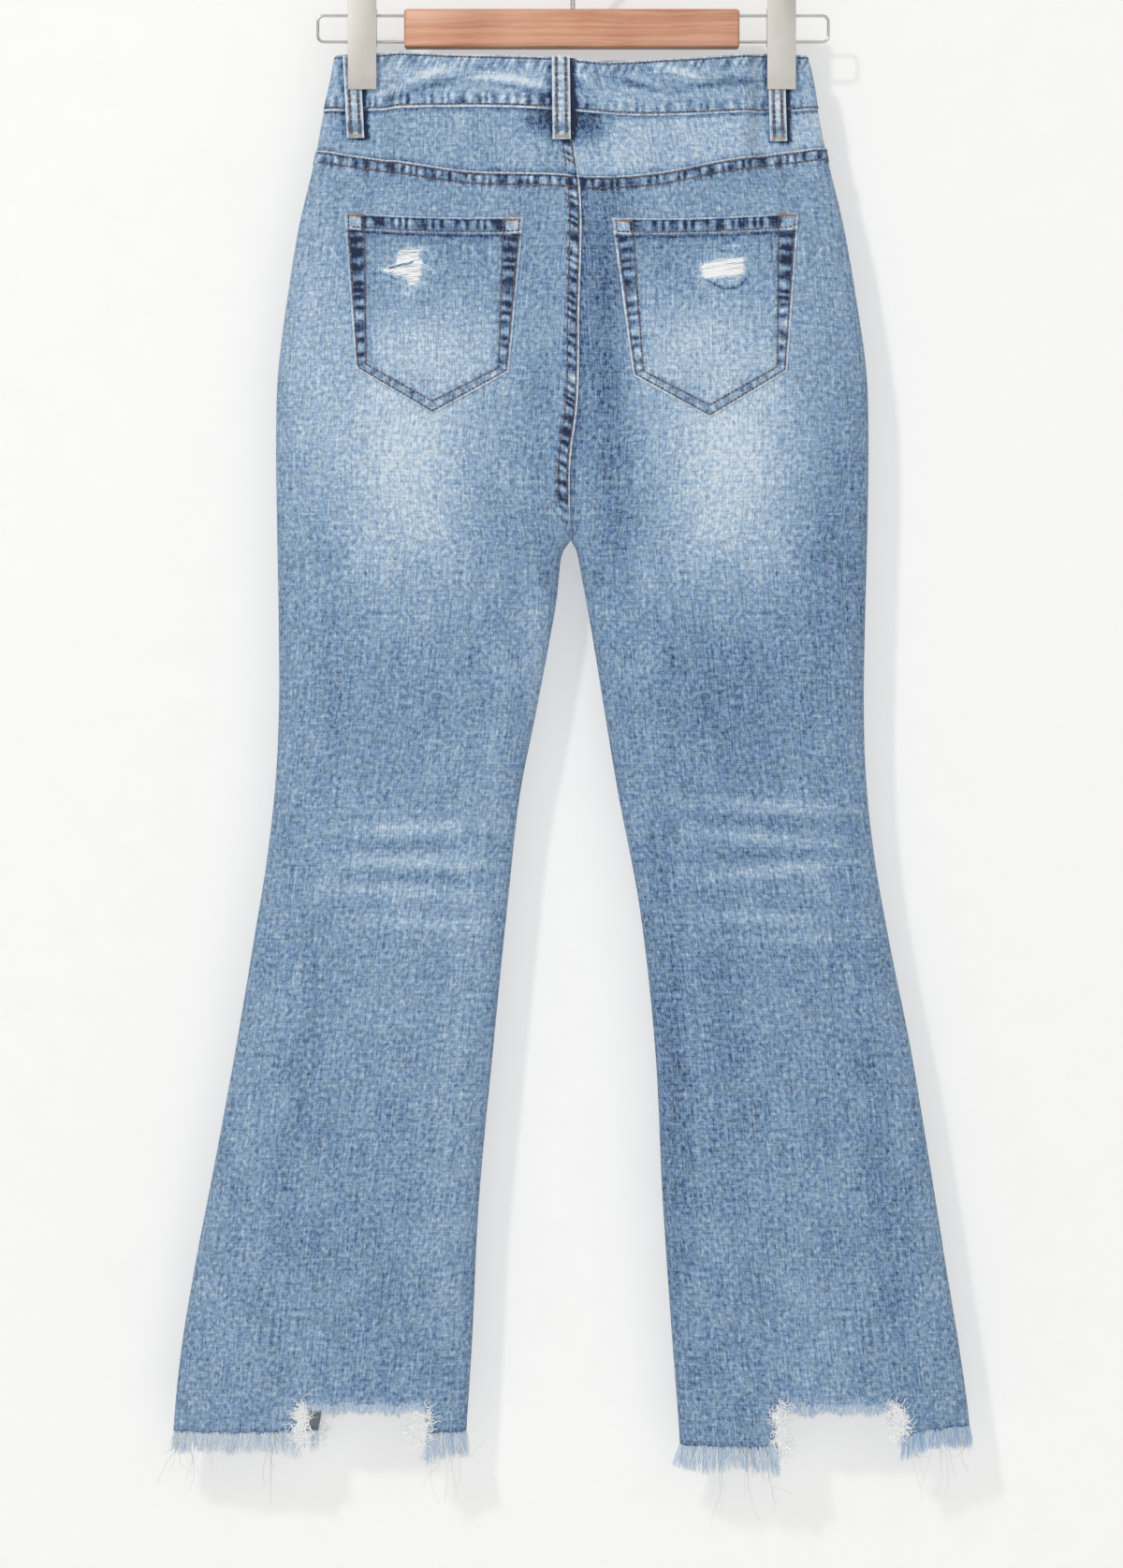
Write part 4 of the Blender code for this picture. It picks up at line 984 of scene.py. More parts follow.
# Worn, lighter patches on the seat, hips, thighs and knees, and painted light and shade: darker strips right of the
# centre seam, the right leg and its outer side darker as if lit from the left, a painted highlight along the left
# leg's inner edge, and painted shade along folds of the lower legs.
FADES_AND_SHADES = {
    BACK: table(
        Spot,
        (-127, 318, 90, 84, 52, 0.29), (116, 318, 90, 84, 54, 0.32), (-120, 220, 90, 80, 70, 0.16),
        (110, 220, 90, 80, 64, 0.16), (-200, 200, 90, 110, 26, 0.13), (200, 190, 90, 110, 26, 0.05),
        (-28, 300, 90, 90, 16, -0.06), (24, 190, 90, 110, 15, -0.24), (34, 330, 90, 60, 16, -0.17),
        (196, 340, 90, 120, 30, -0.12), (150, 800, 90, 420, 150, -0.06), (-40, 380, 90, 40, 24, -0.06),
        (110, 470, 90, 70, 60, -0.10), (-130, 480, 90, 60, 70, -0.04), (-26, 448, 84, 90, 10, 0.14),
        (-118, 600, 0, 70, 60, 0.03), (142, 600, 0, 70, 60, 0.02), (-118, 577, -2, 56, 5, 0.20),
        (-116, 602, 1, 54, 5, 0.20), (-122, 624, 3, 60, 5, 0.16), (-110, 648, 2, 50, 5, 0.14),
        (-126, 590, 0, 40, 4, -0.12), (-120, 613, 2, 40, 4, -0.12), (146, 560, 3, 66, 5, 0.18),
        (140, 584, 4, 60, 5, 0.18), (146, 609, -6, 64, 5, 0.20), (142, 644, 2, 56, 5, 0.16),
        (160, 659, -3, 50, 4, 0.14), (140, 573, 3, 46, 4, -0.10), (146, 597, 0, 46, 4, -0.12),
        (74, 740, 88, 200, 13, -0.13), (-90, 800, 92, 160, 20, 0.05), (-206, 800, 98, 160, 12, -0.08),
        (232, 860, 84, 150, 12, -0.08), (-150, 940, 92, 160, 60, -0.06), (-64, 880, 95, 170, 10, -0.09),
        (176, 930, 86, 170, 24, 0.05), (116, 690, 90, 130, 14, -0.06), (-176, 460, 90, 120, 12, -0.05),
        (-60, 520, 96, 90, 8, 0.05), (60, 480, 84, 90, 8, 0.06),
    ),
    FRONT: table(
        Spot,
        (-118, 330, 92, 150, 44, 0.34), (118, 330, 88, 150, 44, 0.34), (-126, 620, 90, 70, 56, 0.24),
        (138, 620, 90, 70, 56, 0.24), (-120, 590, 2, 56, 5, 0.18), (-120, 616, -3, 52, 5, 0.18),
        (140, 600, -3, 56, 5, 0.18), (142, 628, 4, 56, 5, 0.18), (-100, 250, 24, 60, 6, 0.14),
        (100, 252, -24, 60, 6, 0.14), (-96, 276, 18, 60, 6, 0.12), (98, 278, -18, 60, 6, 0.12),
    ),
}
PLAIN_WASH = 0.50
SLANT = 0.55


def wash(face, x, drop):
    """How far the dye has been worn off, with painted light and shade added: 0 is new indigo and 1 is nearly white."""
    return PLAIN_WASH + sum(fade.size * near(fade, x, drop, power=2.4) for fade in FADES_AND_SHADES[face])


def fell(inward):
    """1 on the raised flap of a felled seam and 0 beyond it, by the distance from its edge."""
    return 1 - smooth((inward - FELL_WIDTH) / FELL_EDGE)


def between(side, face, share, reach, lines, part):
    """Where a panel's columns meet the two seams that bound it, and the drops of its grid."""
    top, low = (meet(side, face, share, reach, line) for line in lines)
    return top, low, top + (low - top) * part[:, None]


LegGrid = namedtuple("LegGrid", "spacing rows start settled centre_end")
# Settled is how far down a row still follows the seam above; centre_end is the raised centre seam's end.
LEG_GRIDS = {BACK: LegGrid(2.2, 330, 88.0, 110.0, 330.0), FRONT: LegGrid(4.0, 170, 60.0, 175.0, 170.0)}
LEG_END = 1028.0
HEM_SETTLED = 70.0


def leg_panels(finish):
    """The back and front panels, from the yoke seam or the waist to the torn hem."""
    made = {}
    for (side, face), hem in HEMS.items():
        fine = face == BACK
        grid = LEG_GRIDS[face]
        share, reach = columns_of(side, face, grid.spacing)
        top = meet(side, face, share, reach, seam(YOKE_SEAM, 1) if fine else scoop(side))
        low = hem_drop(hem, share)
        nominal = np.linspace(grid.start, LEG_END, grid.rows)[:, None]
        drops = nominal + (top - grid.start) * (1 - smooth((nominal - grid.start) / grid.settled))
        drops = drops + (low - LEG_END) * (1 - smooth((LEG_END - nominal) / HEM_SETTLED))
        panel = Panel(side, face, share, reach, drops)
        below, inward = drops - top, panel.total - panel.along
        centre = drops < CROTCH_DROP
        felled = np.zeros_like(drops)
        if fine:
            felled = fell(below)
            panel.rope("seam_a", panel.base[..., 0], below, 1.0)
        else:
            panel.rope("seam_a", panel.base[..., 0] + panel.drops / 2, below, 0.6)
        if side == LEFT:
            fade = (1 - smooth((drops - grid.centre_end + 45) / 45)) * centre
            felled = np.maximum(felled, fell(inward) * fade)
            strength = (1 - smooth((drops - grid.centre_end) / 30)) * centre
            panel.rope("seam_b", drops + SLANT * inward, inward, 1.15 * strength)
        elif fine:
            # Painted shadow: a narrow dark strip along the right panel's centre edge, beside the felled seam's flap.
            panel.maps["wash"] -= 0.30 * np.exp(-inward / 4.0) * centre
        panel.raised = FELL_RAISE * felled
        above_hem = low - drops
        whole = (share <= hem.notch_from - NOTCH_STEP) | (share >= hem.notch_to + NOTCH_STEP)
        panel.maps["wash"] -= 0.34 * bell(above_hem / 2.6) * whole
        panel.maps["wash"] += 0.20 * bell(above_hem / 3.0) * ~whole
        # Painted shade: a little darker within a few millimetres of the outseam and the inseam, where the cloth turns
        # away.
        edges = np.minimum(panel.along, np.where(centre, np.inf, inward))
        panel.maps["wash"] -= 0.10 * np.exp(-edges / 3.5)
        name = f"{FACES[face]}_panel_{SIDES[side]}"
        made[name] = panel.make(name, finish, f"{FACES[face]}_{SIDES[side]}")
    return made


YOKE_WEAR = {LEFT: 0.07, RIGHT: 0.21}
# Painted shade: two dark patches just under the waistband, beside the centre belt loop.
YOKE_SHADES = table(Spot, (9, 53, 0, 17, 13, -0.62), (-24, 50, 0, 13, 9, -0.44))


def yoke_panels(finish):
    """The back yokes, between the waistband and the yoke seam."""
    made = {}
    for side, name in SIDES.items():
        share, reach = columns_of(side, BACK, 2.2)
        lines = seam(WAIST_BOTTOM, 1), seam(YOKE_SEAM, -1)
        top, low, drops = between(side, BACK, share, reach, lines, np.linspace(0, 1, 26))
        panel = Panel(side, BACK, share, reach, drops)
        inward = panel.total - panel.along
        if side == LEFT:
            panel.raised = FELL_RAISE * fell(inward)
            panel.rope("seam_b", drops + SLANT * inward, inward, 0.9)
        x = panel.base[..., 0]
        # Painted shadow: a dark line just under the waistband's edge and another just above the yoke seam, where the
        # seat panel laps over.
        value = PLAIN_WASH + YOKE_WEAR[side] - 0.40 * bell((drops - top - 0.6) / 1.3)
        value -= 0.24 * bell((low - drops) / 2.0)
        value += sum(shade.size * near(shade, x, drops) for shade in YOKE_SHADES)
        value -= 0.30 * loop_dye_and_shadow(BACK, x, drops)
        panel.maps["wash"] = value
        made["back_yoke_" + name] = panel.make("back_yoke_" + name, finish, "yoke_" + name)
    return made


def loop_dye_and_shadow(face, x, drop):
    """Where the belt loops shelter the cloth beside them, so that it keeps its dye, with a painted shadow added that
    is much stronger on the side to the right of each loop.
    """
    value = np.zeros_like(x)
    for loop in LOOPS:
        if loop.face != face:
            continue
        middle = np.interp(drop, [loop.top, loop.low], [loop.top_x, loop.low_x])
        beside = np.maximum(np.abs(x - middle) - loop.width / 2, 0)
        # Painted shadow: the cloth is much darker to the right of a loop than to its left.
        shade = np.where(x > middle, 3.0, 0.9)
        value += shade * np.exp(-((beside / 3.8) ** 4)) * (1 - smooth((drop - loop.low + 1) / 5))
    return value


def hip_panels(finish):
    """The cloth that lies under each pocket mouth at the front."""
    made = {}
    for side, name in SIDES.items():
        share, reach = columns_of(side, FRONT, 4.0)
        kept = share < HIP_SHARE
        share, reach = share[kept], reach[kept]
        lines = seam(WAIST_FRONT_BOTTOM, 1), scoop(side, HIP_UNDER)
        _, _, drops = between(side, FRONT, share, reach, lines, np.linspace(0, 1, 24))
        panel = Panel(side, FRONT, share, reach, drops, proud=-HIP_INSET)
        made["hip_piece_" + name] = panel.make("hip_piece_" + name, finish, "hip_" + name)
    return made


def joined(grids):
    """The back's grid and the front's as one, joined at the outseam."""
    back, front = grids
    return np.concatenate([back[:, ::-1], front], axis=1)


WAISTBAND_PARTS = np.concatenate([[0, 0.012, 0.03], np.linspace(0.06, 0.94, 28), [0.97, 0.988, 1]])


def waistband_half(side, face, upper, lower):
    """The back or the front of one half, between the waistband's two edges."""
    share, reach = columns_of(side, face, 1.5)
    lines = seam(upper), seam(lower, -1)
    top, low, drops = between(side, face, share, reach, lines, WAISTBAND_PARTS)
    panel = Panel(side, face, share, reach, drops, proud=WAISTBAND_PROUD, thick=WAISTBAND_CLOTH)
    panel.raised = -0.45 * bell((drops - top) / 0.5) - 0.35 * bell((low - drops) / 0.5)
    x = panel.base[..., 0]
    panel.rope("seam_a", x + 31, low - drops, 1.0 - 0.45 * smooth(x / 20))
    panel.rope("seam_b", x - 17 + SLANT * drops, drops - top, 0.62)
    # Painted shade: the right half is a little darker, as if farther from the light.
    value = PLAIN_WASH + 0.19 - 0.10 * bell((drops - 22) / 5) - 0.05 * smooth(x / 20)
    value -= 0.32 * bell((x + 8) / 18) * smooth((drops - 14) / 14)
    value -= 0.34 * loop_dye_and_shadow(face, x, drops)
    # Painted shade: the bottom edge is darker where it turns under.
    value -= 0.26 * bell((low - drops) / 0.5)
    panel.maps["wash"] = value + 0.30 * folds_wear_and_shade(face, x, drops)
    return panel


def waistbands(finish):
    """Each half runs from the centre back round the side to the fly, as one folded strip."""
    made = {}
    for side, name in SIDES.items():
        halves = [waistband_half(side, *edges) for edges in WAIST_EDGES]
        outer, inner = (joined(walls) for walls in zip(*(panel.walls() for panel in halves)))
        lay = joined([laid(panel.along * -panel.face, panel.drops) for panel in halves])
        maps = {key: joined([panel.maps[key] for panel in halves]) for key in halves[0].maps}
        obj = shell("waistband_cloth_" + name, outer, inner, side > 0, finish, lay, maps)
        made["waistband_cloth_" + name] = stands_for(obj, ["waistband_" + name])
    return made


def folds_wear_and_shade(face, x, drop):
    """Dye wears off along the tops of the waistband's drag folds and stays in their hollows, with a painted highlight
    on the tops and painted shade in the hollows.
    """
    folds_here = [fold for fold in CREASES[face] if fold.drop <= WAISTBAND_FOLDS_END]
    return sum(np.sign(fold.size) * near(fold, x, drop) for fold in folds_here)


Rip = namedtuple("Rip", "side outline slit rows tilt")
# Each rip's edge, the open slit in it, its rows of weft threads and their slope.
RIPS = [
    Rip(LEFT,
        [(-141, 163.5), (-136, 160), (-131.5, 158.5), (-129.5, 149), (-122, 146.5), (-113, 148),
         (-114.5, 153), (-111, 159), (-114, 163), (-112.5, 166), (-116, 175), (-121.5, 175), (-123, 168),
         (-131.5, 166.6)],
        [(-137.5, 160.4), (-121.5, 157.0), (-117.5, 155.4), (-118, 158.2), (-121.6, 159.4),
         (-137.5, 162.8)],
        50, -0.12),
    Rip(RIGHT,
        [(94.5, 161), (98, 157.6), (114, 154.6), (126.6, 153.4), (128.2, 160.6), (127, 165.8), (114, 168),
         (98, 170), (94.8, 166.6)],
        None, 44, -0.16),
]


def inside_outline(outline, x, drop):
    """Whether places lie inside a closed outline."""
    outline = np.array(outline)
    ends = np.roll(outline, -1, axis=0)
    found = np.zeros(np.shape(x), bool)
    for (x0, d0), (x1, d1) in zip(outline, ends):
        crosses = (d0 > drop) != (d1 > drop)
        found ^= crosses & (x < (x1 - x0) * (drop - d0) / ((d1 - d0) or 1e-9) + x0)
    return found


def to_outline(outline, x, drop):
    """The distance to an open or closed line of places, and how far along it the nearest one is."""
    best, along, so_far = np.full(np.shape(x), 1e9), np.zeros(np.shape(x)), 0.0
    for start, end in zip(outline[:-1], outline[1:]):
        start, end = np.array(start, float), np.array(end, float)
        length = np.linalg.norm(end - start)
        way = (end - start) / length
        part = np.clip((x - start[0]) * way[0] + (drop - start[1]) * way[1], 0, length)
        far = np.hypot(x - start[0] - way[0] * part, drop - start[1] - way[1] * part)
        nearer = far < best
        best, along = np.where(nearer, far, best), np.where(nearer, so_far + part, along)
        so_far += length
    return best, along


POCKET_LIFT = SEAM_GAP + POCKET_CLOTH
CORNER_WIDE = 12.0
ROW_INWARD = (14.5, 7.5)

Scuff = namedtuple("Scuff", "way width change")
# Scratches and worn marks near the rips: a broken line, its width and its change of the wash.
SCUFFS = {
    LEFT: [
        Scuff([(-150, 166), (-143, 165), (-137, 167.5), (-131, 170)], 1.0, -0.24),
        Scuff([(-110, 161), (-104, 164), (-99, 164.5)], 1.2, 0.20),
        Scuff([(-112, 146), (-106, 149), (-104, 155)], 1.1, 0.18),
        Scuff([(-126, 180), (-118, 183)], 1.6, 0.22),
        Scuff([(-134, 153), (-131, 149), (-126, 145)], 1.0, -0.16),
    ],
    RIGHT: [
        Scuff([(98.6, 170.4), (104.3, 173.1), (111.8, 177.2), (122.5, 176.0), (131, 167.2)], 0.9, -0.42),
        Scuff([(106, 171), (114, 174), (122, 172)], 1.6, 0.10),
        Scuff([(107.5, 147.6), (114, 149.3)], 1.2, -0.30),
        Scuff([(108, 144.5), (115, 142.6)], 0.9, -0.20),
        Scuff([(115, 145), (124, 145.2)], 1.2, 0.24),
        Scuff([(128, 146), (128.6, 151)], 0.9, -0.18),
    ],
}


Band = namedtuple("Band", "below width change")
SIDE_SHADE = {LEFT: 0.20, RIGHT: 0.05}
# The hem's folded edge is worn lighter; just below it comes a painted shadow line, then a softer, wider painted shade.
HEM_BANDS = table(Band, (-1.2, 0.9, 0.28), (1.1, 0.9, -0.34), (2.5, 4.5, -0.12))


def pocket_grid(pocket, across, down):
    """x and drop of a grid of places on a patch pocket, both shares from its top inner corner."""
    return np.array([[patch_point(pocket, a, d) for a in across] for d in down])


Patch = namedtuple("Patch", "pocket rip x drop edge along top_edge")


def patch_grid(pocket, rip):
    """A fine grid on a patch pocket, with each place's distance from the sides and from the top."""
    hem = POCKET_HEM / pocket_height(pocket)
    steps = np.linspace(0.012, 0.988, 104)
    across = np.sort(np.concatenate([[0, 0.005, point_share(pocket), 0.995, 1], steps]))
    rims = [0, 0.004, hem - 0.003, hem + 0.004, 0.996, 1]
    down = np.sort(np.concatenate([rims, np.linspace(0.01, 0.99, 116)]))
    grid = pocket_grid(pocket, across, down)
    x, drop = grid[..., 0], grid[..., 1]
    edge, along = to_outline(outline_of(pocket), x, drop)
    top_edge = (down * pocket_height(pocket))[:, None] + 0 * x
    return Patch(pocket, rip, x, drop, edge, along, top_edge)


def patch_relief(patch):
    """How far a patch stands out: its bulging seams, its folded hem and its rounded edges."""
    edge, top_edge = patch.edge, patch.top_edge
    bulge = 0.5 * bell((edge - 4) / 3.0) + 0.35 * np.sin(patch.along * 0.8) * bell((edge - 6) / 3.5)
    hemmed = POCKET_HEM_RAISE * (1 - smooth((top_edge - POCKET_HEM + 0.6) / 0.9))
    rounded = -0.5 * bell(np.minimum(edge, top_edge) / 0.5)
    return bulge * 0.6 + hemmed + rounded


def patch_maps(patch):
    """A patch's wash and the puckers along its sides and its hem."""
    pocket, x, drop, edge, top_edge = patch.pocket, patch.x, patch.drop, patch.edge, patch.top_edge
    hemmed = top_edge < POCKET_HEM
    corner = (edge < CORNER_WIDE) & hemmed
    low_side = smooth((drop - 228) / 12)
    frayed, _ = to_outline([*patch.rip.outline, patch.rip.outline[0]], x, drop)
    value = 0.49 + 0.22 * smooth((drop - 150) / 90)
    value += 0.26 * np.exp(-frayed / 2.2) + 0.20 * corner
    value -= SIDE_SHADE[pocket.side] * bell((edge - 6) / 7.0) * (1 - low_side) * ~corner
    value -= 0.10 * bell((edge - 6) / 4.0) * low_side
    value -= 0.07 * hemmed * ~corner
    for band in HEM_BANDS:
        value += band.change * bell((top_edge - POCKET_HEM - band.below) / band.width)
    value += 0.08 * bell((x - pocket.point[0]) / 30) * bell((drop - 215) / 26)
    for spot in SCUFFS[pocket.side]:
        value += spot.change * bell(to_outline(spot.way, x, drop)[0] / spot.width)
    widths = np.interp(drop, [pocket.top_inner[1], pocket.low_inner[1]], ROW_INWARD)
    reach = np.where(low_side > 0.5, 8.5, widths)
    sides_rope = (1.10 - 0.62 * low_side) * ~corner
    hem_rope = np.where((top_edge < POCKET_HEM - 0.5) & ~corner, 1.05, 0.0)
    return {
        "wash": value,
        "seam_a": roping(patch.along * 0.86, edge * 10.5 / reach, sides_rope),
        "seam_b": roping(x * 0.94, top_edge * 1.12, hem_rope),
    }


def patch_pockets(finish):
    """Five-sided patches with a hem along the top, worn sides and a small rip in each."""
    made = {}
    for pocket, rip in zip(POCKETS, RIPS):
        patch = patch_grid(pocket, rip)
        x, drop = patch.x, patch.drop
        points, facing = height_on(pocket.side, BACK, x, drop)
        outer = points + facing * (POCKET_LIFT + patch_relief(patch))[..., None]
        inner = points + facing * SEAM_GAP
        inside = inside_outline(rip.outline, x + 0.8 * np.sin(drop * 2.2), drop + 0.6 * np.sin(x * 2.7))
        torn = inside[:-1, :-1] & inside[1:, 1:] & inside[1:, :-1] & inside[:-1, 1:]
        name = "patch_pocket_" + SIDES[pocket.side]
        turned = bool(x[0, -1] < x[0, 0])
        obj = shell(name, outer, inner, turned, finish, laid(x, drop), patch_maps(patch), torn)
        made[name] = stands_for(obj, ["back_pocket_" + SIDES[pocket.side]])
    return made


def sloped(rip, x, drop):
    """The drop of a weft thread at each x: a rip's threads all slope the same way."""
    return drop + rip.tilt * (x - np.mean([place[0] for place in rip.outline]))


WEFT_SAMPLES = 90
WEFT_STEPS = 14
LOOSE_STEPS = 24
# Loose ends of thread that lie on the cloth beside the rips.
LOOSE_ENDS = [
    (LEFT, [(-115.5, 158.2), (-110, 158.8), (-106, 161), (-103.6, 163.8)]),
    (LEFT, [(-121, 176), (-120.5, 179), (-121.4, 182)]),
    (LEFT, [(-141, 163.4), (-144, 162.6), (-146.4, 163.6)]),
    (LEFT, [(-113.4, 149), (-110.6, 147.6), (-108.6, 148.6)]),
    (RIGHT, [(96, 170.6), (92.4, 178), (89.6, 187), (87.2, 196)]),
    (RIGHT, [(112, 169), (116, 171.4), (121, 170.6), (125, 168)]),
    (RIGHT, [(118, 153.6), (121, 150), (119, 147.4)]),
]


def weft_lines(rip):
    """The weft threads left across one rip, and the radii along each."""
    (left, high), (right, low) = np.min(rip.outline, axis=0), np.max(rip.outline, axis=0)
    xs = np.linspace(left - 3, right + 3, WEFT_SAMPLES)
    lines, radii = [], []
    for drop in np.linspace(high + 0.3, low - 0.3, rip.rows):
        drop = drop + chance.uniform(-0.25, 0.25)
        kept = xs[inside_outline(rip.outline, xs, sloped(rip, xs, drop))]
        if rip.slit is not None:
            kept = kept[~inside_outline(rip.slit, kept, sloped(rip, kept, drop))]
        breaks = np.flatnonzero(np.diff(kept) > 1.5 * (xs[1] - xs[0])) + 1
        for run in np.split(kept, breaks):
            if len(run) < 4:
                continue
            start, end = run[0] - chance.uniform(0.2, 1.4), run[-1] + chance.uniform(0.2, 1.4)
            span = np.linspace(start, end, WEFT_STEPS)
            sway = chance.uniform(-0.25, 0.25)
            sway = sway * np.sin(np.linspace(0, math.pi * chance.uniform(1, 2.4), WEFT_STEPS))
            points, facing = height_on(rip.side, BACK, span, sloped(rip, span, drop) + sway)
            lift = np.full(WEFT_STEPS, POCKET_LIFT + chance.uniform(-0.5, 0.25))
            lift[[0, -1]] = POCKET_LIFT - 0.3
            lines.append(points + facing * lift[:, None])
            radii.append(np.full(WEFT_STEPS, chance.uniform(0.26, 0.40)))
    return lines, radii


def rip_threads(white):
    """White weft threads left across each rip, and the loose ones that hang from it."""
    for rip in RIPS:
        lines, radii = weft_lines(rip)
        tints = chance.uniform(0.3, 1, len(lines))
        tubes("weft_" + SIDES[rip.side], lines, radii, white, sides=5, tints=tints)
    lines = []
    for side, way in LOOSE_ENDS:
        part = np.linspace(0, len(way) - 1, LOOSE_STEPS)
        columns = read_along(part, np.arange(len(way)), way).T
        x, drop = (np.convolve(np.pad(v, 3, mode="edge"), np.ones(7) / 7, "valid") for v in columns)
        points, facing = height_on(side, BACK, x, drop)
        lines.append(points + facing * (POCKET_LIFT + 0.5))
    tubes("loose_threads", lines, [np.full(LOOSE_STEPS, 0.22)] * len(lines), white, sides=4)


def loop_middle(loop, drop):
    """x of a belt loop's middle line."""
    return loop.top_x + (loop.low_x - loop.top_x) * (drop - loop.top) / (loop.low - loop.top)


def loop_height(drop):
    """How far a loop's inner face stands off: over the waistband, then down a step onto the yoke."""
    step = smooth((drop - STEP_DOWN + 2.6) / 3.4)
    return WAISTBAND_PROUD + (FELL_RAISE - WAISTBAND_PROUD) * step + LOOP_CLEAR


STRAP_ACROSS = np.concatenate([[-0.5, -0.47], np.linspace(-0.43, 0.43, 14), [0.47, 0.5]])


def belt_straps(finish):
    """Belt loops: flat straps with puckers down their middle, over the waistband and onto the yoke."""
    made = {}
    for loop in LOOPS:
        stretches = ((loop.top, STEP_DOWN - 3, 40), (STEP_DOWN - 2.6, STEP_DOWN + 1, 10),
                     (STEP_DOWN + 1.6, loop.low, 18))
        down = np.concatenate([np.linspace(*stretch) for stretch in stretches])
        middle = loop_middle(loop, down)
        across = STRAP_ACROSS * loop.width
        x = middle[:, None] + across[None, :]
        drop = down[:, None] + np.zeros_like(x)
        points, facing = on_either_side(loop.face, x, drop)
        clear = loop_height(down)[:, None, None]
        edge = loop.width / 2 - np.abs(across)[None, :] + np.zeros_like(x)
        round_over = 0.5 * bell(edge / 0.6) + 0.4 * bell((loop.low - drop) / 0.7)
        groove = 0.18 * bell((edge - 3.0) / 0.8)
        outer = points + facing * (clear + (LOOP_CLOTH - round_over - groove)[..., None])
        inner = points + facing * clear
        value = 0.91 - 0.40 * bell((drop - loop.low + 8) / 5) + 0.05 * np.sin(drop * 0.45)
        value += 0.16 * bell(edge / 1.2) - 0.14 * bell((edge - 3) / 1.2)
        maps = {"wash": value, "seam_a": roping(drop, edge + 0.4, np.full_like(x, 0.5))}
        turned = loop.face == FRONT
        name = "loop_strap_" + loop.name
        obj = shell(name, outer, inner, turned, finish, laid(x, drop), maps)
        made[name] = stands_for(obj, ["belt_loop_" + loop.name], "loop_denim")
    return made


YOKE_ROWS = (2.1, 9.3)
MOUTH_ROWS = (2.2, 8.6)
CENTRE_ROWS = (2.2, 8.8)
FLY_ROWS = (32.0, 38.0)
WAIST_ROWS = (2.3, -2.4)


def seam_rows():
    """The topstitching: rows of points and normals on the cloth, with how far out the thread lies."""
    rows = []

    def lay(side, face, x, drop, lift):
        rows.append((*height_on(side, face, x, drop), lift))

    def edge_row(side, face, drops, inward, lift):
        share, reach = np.ones_like(drops), np.full_like(drops, -inward)
        points, _, _ = trace(side, face, share, reach, drops)
        before, _, _ = trace(side, face, share, reach - 1.5, drops)
        out = unit(np.cross(points - before, np.gradient(points, axis=0)) * (-side * face))
        rows.append((points, out, lift))

    for side in SIDES:
        for below in YOKE_ROWS:
            x = np.linspace(side * 190, 9.0 if side == RIGHT else 2.5, 120)
            lay(side, BACK, x, line_at(YOKE_SEAM, x) + below, FELL_RAISE)
        for face, top, bottom in WAIST_EDGES:
            high = np.linspace(side * 178, side * 3 - (8 if face == BACK else 0), 110)
            lay(side, face, high, line_at(top, high) + WAIST_ROWS[0], WAISTBAND_PROUD)
            low = np.linspace(side * 184, side * 3, 110)
            lay(side, face, low, line_at(bottom, low) + WAIST_ROWS[1], WAISTBAND_PROUD)
        mouth = np.linspace(side * 106, side * 190, 60)
        for below in MOUTH_ROWS:
            x = mouth - side * below * 0.4
            lay(side, FRONT, x, scoop(side)(x) + below, 0.0)
    for inward in CENTRE_ROWS:
        edge_row(LEFT, BACK, np.linspace(49, 86, 30), inward, FELL_RAISE)
        edge_row(LEFT, BACK, np.linspace(92, 338, 140), inward, FELL_RAISE * 0.9)
    edge_row(LEFT, FRONT, np.linspace(52, 168, 70), CENTRE_ROWS[0], FELL_RAISE)
    for inward in FLY_ROWS:
        drops = np.linspace(50, 165, 80)
        bend = np.interp(drops, [50, 128, 150, 165], [0, 0, 0.35, 1])
        share, reach = np.ones_like(drops), -(inward * (1 - bend**2) + 3)
        points, _, _ = trace(LEFT, FRONT, share, reach, drops)
        rows.append((points, np.tile([0.0, 1.0, 0.0], (len(drops), 1)), 0.0))
    return rows


def pocket_rows():
    """Two rows inside the sides of each back pocket and one along its hem."""
    rows = []
    for pocket in POCKETS:
        outline = outline_of(pocket)
        for high, low, point in ((3.2, 2.0, 2.6), (ROW_INWARD[0] + 0.6, 7.4, 9.6)):
            moves = [(-high, 2), (-low, -0.42 * low), (0, -point), (low, -0.42 * low), (high, 2)]
            ends = np.array(outline) + np.array(moves) * [-pocket.side, 1]
            length = lengths(ends)
            x, drop = read_along(np.linspace(0, length[-1], 260), length, ends).T
            points, facing = height_on(pocket.side, BACK, x, drop)
            corners = zip(*sorted([pocket.top_inner, pocket.top_outer]))
            top = drop - np.interp(x, *corners)
            lift = POCKET_LIFT + POCKET_HEM_RAISE * (top < POCKET_HEM)
            rows.append((points + facing * lift[:, None], facing, 0.12))
        hem = (POCKET_HEM - 2.0) / pocket_height(pocket)
        x, drop = pocket_grid(pocket, np.linspace(0.02, 0.98, 120), [hem])[0].T
        points, facing = height_on(pocket.side, BACK, x, drop)
        rows.append((points, facing, POCKET_LIFT + POCKET_HEM_RAISE + 0.05))
    return rows


LOOP_ROW = 3.3


def loop_rows():
    """One row of stitches along each side of every belt loop."""
    rows = []
    for loop in LOOPS:
        down = np.linspace(loop.top + 1, loop.low - 1, 60)
        lift = loop_height(down) + LOOP_CLOTH
        for inward in (-1, 1):
            x = loop_middle(loop, down) + inward * (loop.width / 2 - LOOP_ROW)
            points, facing = on_either_side(loop.face, x, down)
            rows.append((points + facing * lift[:, None], facing, 0.0))
    return rows


BARTACK_LENGTH = 13.0
BARTACK_HALF = 0.95
BARTACK_PITCH = 0.46
BARTACK_INSET = 1.4


